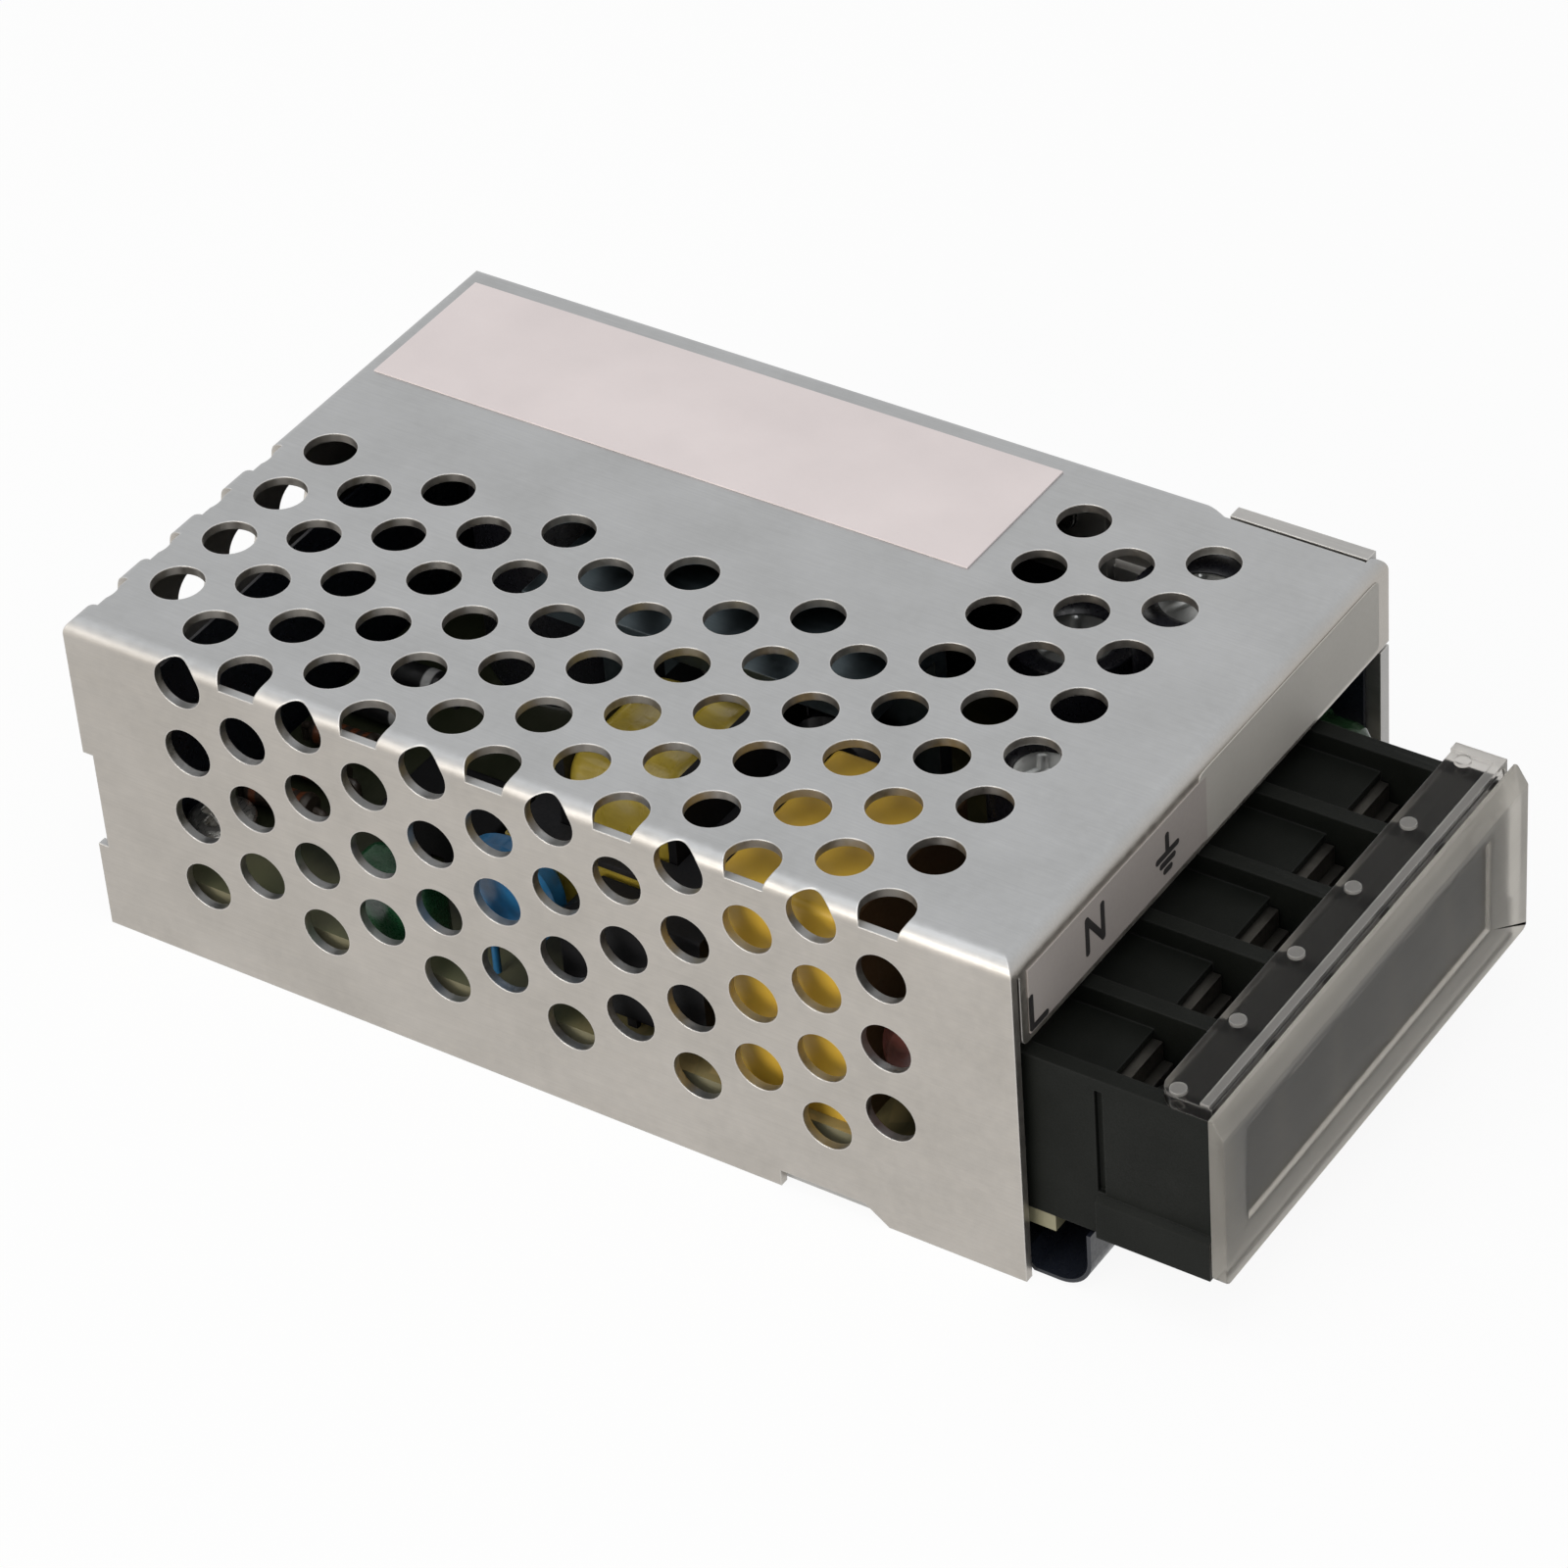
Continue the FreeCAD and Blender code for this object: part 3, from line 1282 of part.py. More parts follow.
def makeTransformer():
    """Ferrite core lying flat, bobbin on its centre leg, taped winding and the tape round the core."""
    x = (frontX - dims.transformerBack - dims.transformerLength, frontX - dims.transformerBack)
    y = span(nearY + dims.transformerNear, dims.transformerWidth)
    z = span(dims.coreLow, dims.coreThickness)
    middleY = (y[0] + y[1]) / 2
    middleZ = (z[0] + z[1]) / 2
    windowX = (x[0] + dims.coreBackThickness, x[1] - dims.coreBackThickness)
    leg = around(middleY, dims.coreCentreLeg)
    nearWindow = (y[0] + dims.coreSideLeg, leg[0])
    farWindow = (leg[1], y[1] - dims.coreSideLeg)
    core = newBody("core")
    pad(core, "XY", z[0], z[1], [rectangle(x, y)])
    pocket(core, "XY", z[0], z[1], [rectangle(windowX, nearWindow), rectangle(windowX, farWindow)])
    keep("transformer_core", core)
    gap = dims.bobbinGap
    wall = dims.bobbinWall
    coilY = (nearWindow[0] + gap, farWindow[1] - gap)
    coilZ = around(middleZ, 2 * dims.windingHalfHeight)
    tubeY = (leg[0] - gap - wall, leg[1] + gap + wall)
    tubeZ = (z[0] - gap - wall, z[1] + gap + wall)
    boreY = (leg[0] - gap, leg[1] + gap)
    boreZ = (z[0] - gap, z[1] + gap)
    flangeX = (windowX[0] + gap, windowX[1] - gap)
    bobbin = newBody("bobbin")
    pad(bobbin, "YZ", flangeX[0], flangeX[1], [rectangle(tubeY, tubeZ)])
    pad(bobbin, "YZ", flangeX[0], flangeX[0] + wall, [rectangle(coilY, coilZ)])
    pad(bobbin, "YZ", flangeX[1] - wall, flangeX[1], [rectangle(coilY, coilZ)])
    railZ = (boardTopZ, coilZ[0] + wall)
    rails = [rectangle(span(flangeX[0], dims.bobbinRailHeight), coilY)]
    rails.append(rectangle((flangeX[1] - dims.bobbinRailHeight, flangeX[1]), coilY))
    pad(bobbin, "XY", railZ[0], railZ[1], rails)
    pocket(bobbin, "YZ", flangeX[0], flangeX[1], [rectangle(boreY, boreZ)])
    keep("transformer_bobbin", bobbin)
    coil = newBody("coil")
    coilX = (flangeX[0] + wall, flangeX[1] - wall)
    lowZ = railZ[1] + gap
    coilOutline = [(coilY[0], lowZ), (coilY[1], lowZ), (coilY[1], coilZ[1]), (coilY[0], coilZ[1])]
    pad(coil, "YZ", coilX[0], coilX[1], [coilOutline])
    middleX = (coilX[0] + coilX[1]) / 2
    corners = [(middleX, across, up) for across in coilY for up in (lowZ, coilZ[1])]
    soften(coil, "Fillet", dims.windingCorner, corners)
    tube = rectangle((tubeY[0] - gap, tubeY[1] + gap), (tubeZ[0] - gap, tubeZ[1] + gap))
    pocket(coil, "YZ", coilX[0], coilX[1], [tube])
    keep("transformer_winding", coil)
    tape = newBody("tape")
    thick = dims.tapeThickness
    tapeZ = around(middleZ, dims.tapeWidth)
    tapeX = (x[0] - thick, x[1] + thick)
    tapeY = (y[0] - thick, y[1] + thick)
    pad(tape, "XY", tapeZ[0], tapeZ[1], [rectangle(tapeX, tapeY)])
    soften(tape, "Fillet", thick, [(across, along, middleZ) for across in tapeX for along in tapeY])
    pocket(tape, "XY", tapeZ[0], tapeZ[1], [rectangle(x, y)])
    keep("transformer_tape", tape)


def package(name, middleX, backY, facing):
    """Power package with its tab against a heatsink: facing is the way its front looks along Y."""
    lowZ = boardTopZ + dims.packageLift
    tabTopZ = lowZ + dims.packageHeight + dims.tabHeight
    tabY = sorted((backY, backY + facing * dims.tabThickness), key=lambda size: size.value)
    caseY = sorted((backY, backY + facing * dims.caseThickness), key=lambda size: size.value)
    wide = around(middleX, dims.tabWidth)
    tab = box(f"{name}Tab", wide, tabY, (lowZ, tabTopZ))
    case = box(f"{name}Case", wide, caseY, span(lowZ, dims.packageHeight))
    legY = around(backY + facing * dims.caseThickness / 2, dims.legThickness)
    legs = [
        box(f"{name}Leg", around(middleX + step * dims.legSpacing, dims.legWidth), legY, (boardTopZ, lowZ))
        for step in (-1, 0, 1)
    ]
    hole = tabHole(name, middleX, tabY, tabScrewZ())
    return cut(name, join(f"{name}Solid", [tab, case] + legs), [hole])


def tabScrewZ():
    """Height of the screw that holds a power package's tab."""
    return boardTopZ + dims.packageLift + dims.packageHeight + dims.tabHeight / 2


def tabHole(name, x, y, z):
    """Bore across a sheet for a tab screw."""
    return rod(f"{name}Hole", "Y", dims.tabHoleRadius, (x, y[0] - beyond, z), y[1] - y[0] + 2 * beyond)


def makePowerStage():
    """Transistor and rectifier on their heatsinks, with pads and screws."""
    sinkFarY = nearY + dims.heatsinkIn
    sinkY = (sinkFarY - dims.heatsinkThickness, sinkFarY)
    sinkX = (frontX - dims.heatsinkBack - dims.heatsinkLength, frontX - dims.heatsinkBack)
    shelfZ = (dims.heatsinkTop - dims.heatsinkThickness, dims.heatsinkTop)
    section = [
        (sinkY[1], boardTopZ),
        (sinkY[1], shelfZ[1]),
        (sinkY[1] - dims.heatsinkShelf, shelfZ[1]),
        (sinkY[1] - dims.heatsinkShelf, shelfZ[0]),
        (sinkY[0], shelfZ[0]),
        (sinkY[0], boardTopZ),
    ]
    sink = newBody("heatsink")
    pad(sink, "YZ", sinkX[0], sinkX[1], [section])
    soften(sink, "Fillet", dims.heatsinkThickness, [(sinkX[0] + beyond, sinkY[1], shelfZ[1])])
    transistorX = frontX - dims.transistorBack
    screwZ = tabScrewZ()
    pocket(sink, "XZ", sinkY[0], sinkY[1], circles=[(transistorX, screwZ, dims.tabHoleRadius)])
    keep("transistor_heatsink", sink)
    keep("switch_transistor", package("transistor", transistorX, sinkY[0] - dims.padThickness, -1))
    plateNearY = farY - dims.rectifierHeatsinkIn - dims.heatsinkThickness
    plateY = span(plateNearY, dims.heatsinkThickness)
    plateFrontX = frontX - dims.rectifierHeatsinkBack
    plateX = (plateFrontX - dims.rectifierHeatsinkLength, plateFrontX)
    plate = newBody("rectifierPlate")
    pad(plate, "XZ", plateY[0], plateY[1], [rectangle(plateX, (boardTopZ, dims.rectifierHeatsinkTop))])
    rectifierX = frontX - dims.rectifierBack
    pocket(plate, "XZ", plateY[0], plateY[1], circles=[(rectifierX, screwZ, dims.tabHoleRadius)])
    keep("rectifier_heatsink", plate)
    keep("output_rectifier", package("rectifier", rectifierX, plateY[1] + dims.padThickness, 1))
    padZ = (boardTopZ + dims.packageLift, screwZ + dims.tabHeight / 2)
    pads = []
    screws = []
    grip = dims.heatsinkThickness + dims.padThickness + dims.tabThickness + dims.seamGap
    for x, faceY, facing in ((transistorX, sinkY[0], -1), (rectifierX, plateY[1], 1)):
        padY = sorted((faceY, faceY + facing * dims.padThickness), key=lambda size: size.value)
        film = box("padFilm", around(x, dims.tabWidth), padY, padZ)
        pads.append(cut("pad", film, [tabHole("pad", x, padY, screwZ)]))
        seatY = faceY + facing * (dims.padThickness + dims.tabThickness)
        rise = facing * dims.tabScrewHeadHeight
        length = facing * grip
        profile = [
            (0, rise),
            (dims.tabScrewHeadRadius, rise),
            (dims.tabScrewHeadRadius, 0),
            (dims.tabScrewRadius, 0),
            (dims.tabScrewRadius, -length),
            (0, -length),
        ]
        screws.append(turned("tabScrew", profile, (x, seatY, screwZ), "Y"))
    keep("insulating_pads", group("insulatingPads", pads))
    keep("tab_screws", group("tabScrews", screws))


def chip(name, x, y, legs):
    """Dual in-line package: a moulded body on two rows of flat legs."""
    bodyZ = span(boardTopZ + dims.chipLift, dims.chipHeight)
    moulding = roundedBox(f"{name}Moulding", x, y, bodyZ, dims.seamGap)
    pitch = (x[1] - x[0]) / legs
    pieces = [moulding]
    for number in range(legs):
        middle = x[0] + pitch * (number + 0.5)
        for low, high in (span(y[0], dims.chipLegThickness), (y[1] - dims.chipLegThickness, y[1])):
            legZ = (boardTopZ, bodyZ[0] + dims.chipLift)
            pieces.append(box(f"{name}Leg", around(middle, dims.chipLegWidth), (low, high), legZ))
    return join(name, pieces)


def makeBridge():
    """In-line bridge rectifier standing on four flat leads, one upper corner bevelled."""
    x = (frontX - dims.bridgeBack - dims.bridgeLength, frontX - dims.bridgeBack)
    y = span(nearY + dims.bridgeNear, dims.bridgeWidth)
    z = span(boardTopZ + dims.packageLift, dims.bridgeHeight)
    moulding = newBody("bridgeMoulding")
    outline = [
        (x[0], z[0]),
        (x[1], z[0]),
        (x[1], z[1]),
        (x[0] + dims.bridgeBevel, z[1]),
        (x[0], z[1] - dims.bridgeBevel),
    ]
    pad(moulding, "XZ", y[0], y[1], [outline])
    middleX = (x[0] + x[1]) / 2
    soften(moulding, "Fillet", dims.seamGap, [(middleX, along, z[1]) for along in y])
    pitch = dims.bridgeLength / 4
    legY = around((y[0] + y[1]) / 2, dims.legThickness)
    pieces = [moulding]
    for number in range(4):
        legX = around(x[0] + pitch * (number + 0.5), dims.legWidth)
        pieces.append(box("bridgeLeg", legX, legY, (boardTopZ, z[0])))
    keep("bridge_rectifier", join("bridge", pieces))


def makeChips():
    """Controller and optocoupler."""
    x = (frontX - dims.controllerBack - dims.controllerLength, frontX - dims.controllerBack)
    keep("controller_chip", chip("controller", x, span(nearY + dims.controllerNear, dims.chipWidth), 4))
    x = (frontX - dims.optocouplerBack - dims.optocouplerLength, frontX - dims.optocouplerBack)
    keep("optocoupler", chip("optocoupler", x, span(nearY + dims.optocouplerNear, dims.chipWidth), 2))


def axial(name, back, near):
    """Small part lying along X just over the board, its wire bent down at both ends."""
    z = boardTopZ + dims.axialLift + dims.axialRadius
    y = nearY + near
    rearX = frontX - back - dims.axialLength
    body = rod(f"{name}Body", "X", dims.axialRadius, (rearX, y, z), dims.axialLength)
    ends = (rearX - 3 * dims.leadRadius, rearX + dims.axialLength + 3 * dims.leadRadius)
    wire = rod(f"{name}Wire", "X", dims.leadRadius, (ends[0], y, z), ends[1] - ends[0])
    leads = [rod(f"{name}Lead", "Z", dims.leadRadius, (x, y, boardTopZ), z - boardTopZ) for x in ends]
    return join(name, [body, wire] + leads)


def makeAxials():
    """Rows of resistors and diodes near the back of the board."""
    resistors = [
        axial("resistor", dims.axialBack, dims.resistorNear + row * dims.axialSpacing)
        for row in range(int(dims.resistorCount.value))
    ]
    keep("resistors", group("resistors", resistors))
    diodes = [
        axial("diode", dims.axialBack, dims.diodeNear + row * dims.axialSpacing)
        for row in range(int(dims.diodeCount.value))
    ]
    keep("diodes", group("diodes", diodes))


def makeOutputChoke():
    """Drum core with its winding in the waist."""
    x = frontX - dims.outputChokeBack
    y = farY - dims.outputChokeIn
    rim = dims.outputChokeRim
    wide = dims.outputChokeRadius
    waist = dims.outputChokeWaist
    height = dims.outputChokeHeight
    drum = [
        (0, 0),
        (wide, 0),
        (wide, rim),
        (waist, rim),
        (waist, height - rim),
        (wide, height - rim),
        (wide, height),
        (0, height),
    ]
    keep("output_choke_core", turned("drum", drum, (x, y, boardTopZ)))
    gap = dims.screwClearance
    windingZ = (rim + gap, height - rim - gap)
    winding = rectangle((waist + gap, wide - dims.seamGap), windingZ)
    keep("output_choke_winding", turned("drumWinding", winding, (x, y, boardTopZ)))


def makeTrimmer():
    """Voltage trimmer: a body with a bore, and the slotted rotor that turns in it."""
    faceX = frontX + dims.trimmerFront
    y = farY - dims.trimmerIn
    z = boardTopZ + dims.trimmerHeight / 2
    bodyX = (faceX - dims.trimmerDepth, faceX)
    bodyZ = span(boardTopZ, dims.trimmerHeight)
    housing = roundedBox("trimmerHousing", bodyX, around(y, dims.trimmerWidth), bodyZ, dims.seamGap)
    boreDepth = dims.rotorShaftLength + dims.seamGap
    boreRadius = dims.rotorShaftRadius + dims.rotorClearance
    bore = rod("trimmerBore", "X", boreRadius, (faceX - boreDepth, y, z), boreDepth + beyond)
    keep("trimmer_body", cut("trimmerBody", housing, [bore]))
    headX = faceX + dims.rotorClearance
    head = dims.rotorThickness
    profile = [
        (0, -dims.rotorShaftLength),
        (dims.rotorShaftRadius, -dims.rotorShaftLength),
        (dims.rotorShaftRadius, 0),
        (dims.rotorRadius, 0),
        (dims.rotorRadius, head),
        (0, head),
    ]
    blank = turned("rotorBlank", profile, (headX, y, z), "X")
    slotX = (headX + head - dims.rotorSlotDepth, headX + head + beyond)
    slotY = around(y, dims.rotorSlotWidth)
    slot = box("rotorSlot", slotX, slotY, around(z, 2 * (dims.rotorRadius + beyond)))
    keep("trimmer_rotor", cut("trimmerRotor", blank, [slot]))


def makeLamp():
    """Indicator lamp over the trimmer, on two bent leads."""
    rearX = frontX - dims.lampBack
    y = farY - dims.trimmerIn
    radius = dims.lampRadius
    neck = dims.lampLength - radius
    profile = [
        (0, 0),
        (dims.lampFlangeRadius, 0),
        (dims.lampFlangeRadius, dims.seamGap * 2),
        (radius, dims.seamGap * 2),
        (radius, neck),
        (radius * math.cos(math.pi / 6), neck + radius / 2),
        (radius / 2, neck + radius * math.cos(math.pi / 6)),
        (0, dims.lampLength),
    ]
    bulb = turned("lampBulb", profile, (rearX, y, dims.lampHeight), "X")
    lead = dims.lampLeadSide
    leadX = span(frontX - dims.trimmerDepth + dims.trimmerFront - lead - dims.axialLift, lead)
    pieces = [bulb]
    for step in (-0.5, 0.5):
        leadY = around(y + step * dims.lampLeadSpacing, lead)
        pieces.append(box("lampLead", leadX, leadY, (boardTopZ, dims.lampHeight)))
        pieces.append(box("lampBend", (leadX[0], rearX), leadY, (dims.lampHeight - lead, dims.lampHeight)))
    return join("lamp", pieces)


def makeLabels():
    """Bare rating label on the top and the pale strip on the flange."""
    labelX = (frontX - dims.labelBack - dims.labelLength, frontX - dims.labelBack)
    labelFarY = farY - dims.labelFar
    labelY = (labelFarY - dims.labelWidth, labelFarY)
    keep("rating_label", box("ratingLabel", labelX, labelY, span(topZ, dims.stickerThickness)))
    stripY = span(coverInnerY + dims.stripIn, dims.stripLength)
    stripZ = span(flangeLowZ + dims.stripLow, dims.stripHeight)
    keep("marking_strip", box("markingStrip", span(frontX, dims.stickerThickness), stripY, stripZ))


def exportNodes():
    """Checks every object and writes each piece to its own file."""
    doc.recompute()
    failed = [thing.Name for thing in doc.Objects if {"Invalid", "Error"} & set(thing.State)]
    if failed:
        raise ValueError(f"failed objects: {failed}")
    os.makedirs("parts", exist_ok=True)
    for label, thing in nodes.items():
        shape = thing.Shape
        if shape.isNull() or not shape.isValid():
            raise ValueError(f"{label} has no valid shape")
    for label, thing in nodes.items():
        thing.Shape.exportStep(f"parts/{label}.step")
        print(label, len(thing.Shape.Solids), round(thing.Shape.Volume, 1))


keep("vent_cover", makeVentCover())
keep("chassis", makeChassis())
keep("cover_screws", makeCoverScrews())
makeLabels()
keep("insulation_sheet", makeInsulation())
keep("circuit_board", makeBoard())
keep("board_standoffs", makeStandoffs())
keep("board_screws", makeBoardScrews())
keep("terminal_block", makeTerminalBlock())
keep("terminal_plates", makeTerminalPlates())
keep("terminal_washers", makeTerminalWashers())
keep("terminal_screws", makeTerminalScrews())
keep("cover_strip", makeCoverStrip())
keep("cover_flap", makeCoverFlap())
makeFuse()
makeDiscs()
makeBoxCapacitors()
makeInputChoke()
makeCapacitors()
makeTransformer()
makePowerStage()
makeBridge()
makeChips()
makeAxials()
makeOutputChoke()
makeTrimmer()
keep("indicator_lamp", makeLamp())
exportNodes()
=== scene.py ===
import math

import bmesh
import bpy
import numpy as np
from mathutils import Matrix, Vector


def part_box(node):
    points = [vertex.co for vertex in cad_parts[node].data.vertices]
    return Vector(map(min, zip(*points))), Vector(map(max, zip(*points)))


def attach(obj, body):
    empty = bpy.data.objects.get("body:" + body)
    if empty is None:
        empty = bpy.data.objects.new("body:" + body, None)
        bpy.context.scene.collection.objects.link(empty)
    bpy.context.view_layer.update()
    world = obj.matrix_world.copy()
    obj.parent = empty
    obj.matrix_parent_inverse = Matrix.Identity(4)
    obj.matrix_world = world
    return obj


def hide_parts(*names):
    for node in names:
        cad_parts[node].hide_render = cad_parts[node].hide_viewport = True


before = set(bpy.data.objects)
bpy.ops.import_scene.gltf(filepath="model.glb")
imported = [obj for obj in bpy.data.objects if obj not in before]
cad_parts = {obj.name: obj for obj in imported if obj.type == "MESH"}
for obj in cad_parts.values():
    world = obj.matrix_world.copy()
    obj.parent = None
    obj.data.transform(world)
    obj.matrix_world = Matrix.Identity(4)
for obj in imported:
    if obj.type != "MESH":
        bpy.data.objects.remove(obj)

mm = 0.001
fullTurn = 2 * math.pi
quarterTurn = math.pi / 2
tiny = 0.001 * mm
weld = 0.0005 * mm  # points closer than this are merged
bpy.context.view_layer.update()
caseLow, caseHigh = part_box("vent_cover")  # corners of the folded cover
frontX = caseHigh[0]  # outer face of the front flange
nearY = caseLow[1]  # outer face of the perforated side
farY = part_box("chassis")[1][1]  # outer face of the far wall
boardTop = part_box("circuit_board")[1][2]
print("frame loaded:", len(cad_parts), "nodes")

# Camera, lamps and floor


# A new object for some data, linked into the scene
def linked(name, data):
    thing = bpy.data.objects.new(name, data)
    bpy.context.scene.collection.objects.link(thing)
    return thing


shot = {
    "azimuth": 36.008,  # degrees round from the near side, towards the terminals
    "elevation": 38.542,
    "roll": -4.675,
    "distance": 429.9 * mm,
    "right": 42.90 * mm,  # how far the camera stands beside and above its line through the aim
    "up": -8.644 * mm,
    "aim": (-37.195 * mm, -25.5 * mm, 28.0 * mm),
    "lens": 140.63,
    "sensor": 36.0,
    "clip": (0.01, 10),  # metres
}


def addCamera():
    azimuth = math.radians(shot["azimuth"])
    elevation = math.radians(shot["elevation"])
    back = Vector((
        math.sin(azimuth) * math.cos(elevation),
        -math.cos(azimuth) * math.cos(elevation),
        math.sin(elevation),
    ))
    right = (-back).cross(Vector((0, 0, 1))).normalized()
    up = right.cross(-back)
    turn = Matrix.Rotation(math.radians(shot["roll"]), 3, back)
    right = turn @ right
    up = turn @ up
    camera = linked("camera", bpy.data.cameras.new("camera"))
    axes = Matrix((right, up, back)).transposed().to_4x4()
    place = Vector(shot["aim"]) + right * shot["right"] + up * shot["up"] + back * shot["distance"]
    camera.matrix_world = Matrix.Translation(place) @ axes
    camera.data.lens = shot["lens"]
    camera.data.sensor_width = shot["sensor"]
    camera.data.clip_start, camera.data.clip_end = shot["clip"]
    bpy.context.scene.camera = camera


lamps = {
    "skyPanel": {"size": 0.8, "power": 4.4, "place": (0.08, -0.32, 0.85), "colour": (0.96, 0.98, 1.0)},
    "nearPanel": {"size": 0.5, "power": 3.4, "place": (-0.15, -0.75, 0.22), "colour": (1.0, 0.95, 0.88)},
    "frontPanel": {"size": 0.35, "power": 0.3, "place": (0.75, -0.2, 0.25), "colour": (1.0, 0.96, 0.92)},
}


def addLamps():
    target = (Vector(caseLow) + Vector(caseHigh)) / 2
    for name, lamp in lamps.items():
        light = bpy.data.lights.new(name, "AREA")
        light.size = lamp["size"]
        light.energy = lamp["power"]
        light.color = lamp["colour"]
        holder = linked(name, light)
        holder.location = lamp["place"]
        holder.rotation_euler = (target - Vector(lamp["place"])).to_track_quat("-Z", "Y").to_euler()


# 1 for the rays that should see a white background: camera, glossy and transmission rays
def whiteRays(nodes, links):
    path = nodes.new("ShaderNodeLightPath")
    seen = path.outputs["Is Camera Ray"]
    for ray in ("Is Glossy Ray", "Is Transmission Ray"):
        either = nodes.new("ShaderNodeMath")
        either.operation = "MAXIMUM"
        links.new(seen, either.inputs[0])
        links.new(path.outputs[ray], either.inputs[1])
        seen = either.outputs[0]
    return seen


# A shader that goes from the first to the second by a factor
def mixedShader(nodes, links, *sources):
    mix = nodes.new("ShaderNodeMixShader")
    for source, socket in zip(sources, mix.inputs):
        links.new(source, socket)
    return mix.outputs[0]


room = {
    "ambient": 0.42,
    "ambientColour": (0.98, 0.99, 1.0),
    "floorColour": (0.82, 0.82, 0.81),
    "floorWhite": 0.92,  # share of plain white in what the floor shows
    "floorRough": 0.9,
    "floorSide": 6.0,  # half of its side, metres
}


def addRoom():
    world = bpy.data.worlds.new("room")
    bpy.context.scene.world = world
    world.use_nodes = True
    nodes = world.node_tree.nodes
    links = world.node_tree.links
    seen = whiteRays(nodes, links)
    ambient = nodes["Background"]
    ambient.inputs["Color"].default_value = (*room["ambientColour"], 1)
    ambient.inputs["Strength"].default_value = room["ambient"]
    white = nodes.new("ShaderNodeBackground")
    white.inputs["Color"].default_value = (1, 1, 1, 1)
    mixed = mixedShader(nodes, links, seen, ambient.outputs[0], white.outputs[0])
    links.new(mixed, nodes["World Output"].inputs["Surface"])
    side = room["floorSide"]
    mesh = bpy.data.meshes.new("floor")
    corners = [(-side, -side, 0), (side, -side, 0), (side, side, 0), (-side, side, 0)]
    mesh.from_pydata(corners, [], [(0, 1, 2, 3)])
    floor = linked("floor", mesh)
    material = bpy.data.materials.new("paleFloor")
    material.use_nodes = True
    nodes = material.node_tree.nodes
    links = material.node_tree.links
    matte = nodes["Principled BSDF"]
    matte.inputs["Base Color"].default_value = (*room["floorColour"], 1)
    matte.inputs["Roughness"].default_value = room["floorRough"]
    glow = nodes.new("ShaderNodeEmission")
    glow.inputs["Color"].default_value = (1, 1, 1, 1)
    share = nodes.new("ShaderNodeMath")
    share.operation = "MULTIPLY"
    links.new(whiteRays(nodes, links), share.inputs[0])
    share.inputs[1].default_value = room["floorWhite"]
    mixed = mixedShader(nodes, links, share.outputs[0], matte.outputs[0], glow.outputs[0])
    links.new(mixed, nodes["Material Output"].inputs["Surface"])
    mesh.materials.append(material)


addCamera()
addLamps()
addRoom()
bpy.context.scene.view_settings.view_transform = "Standard"
print("camera, lamps and floor are in")

# Materials


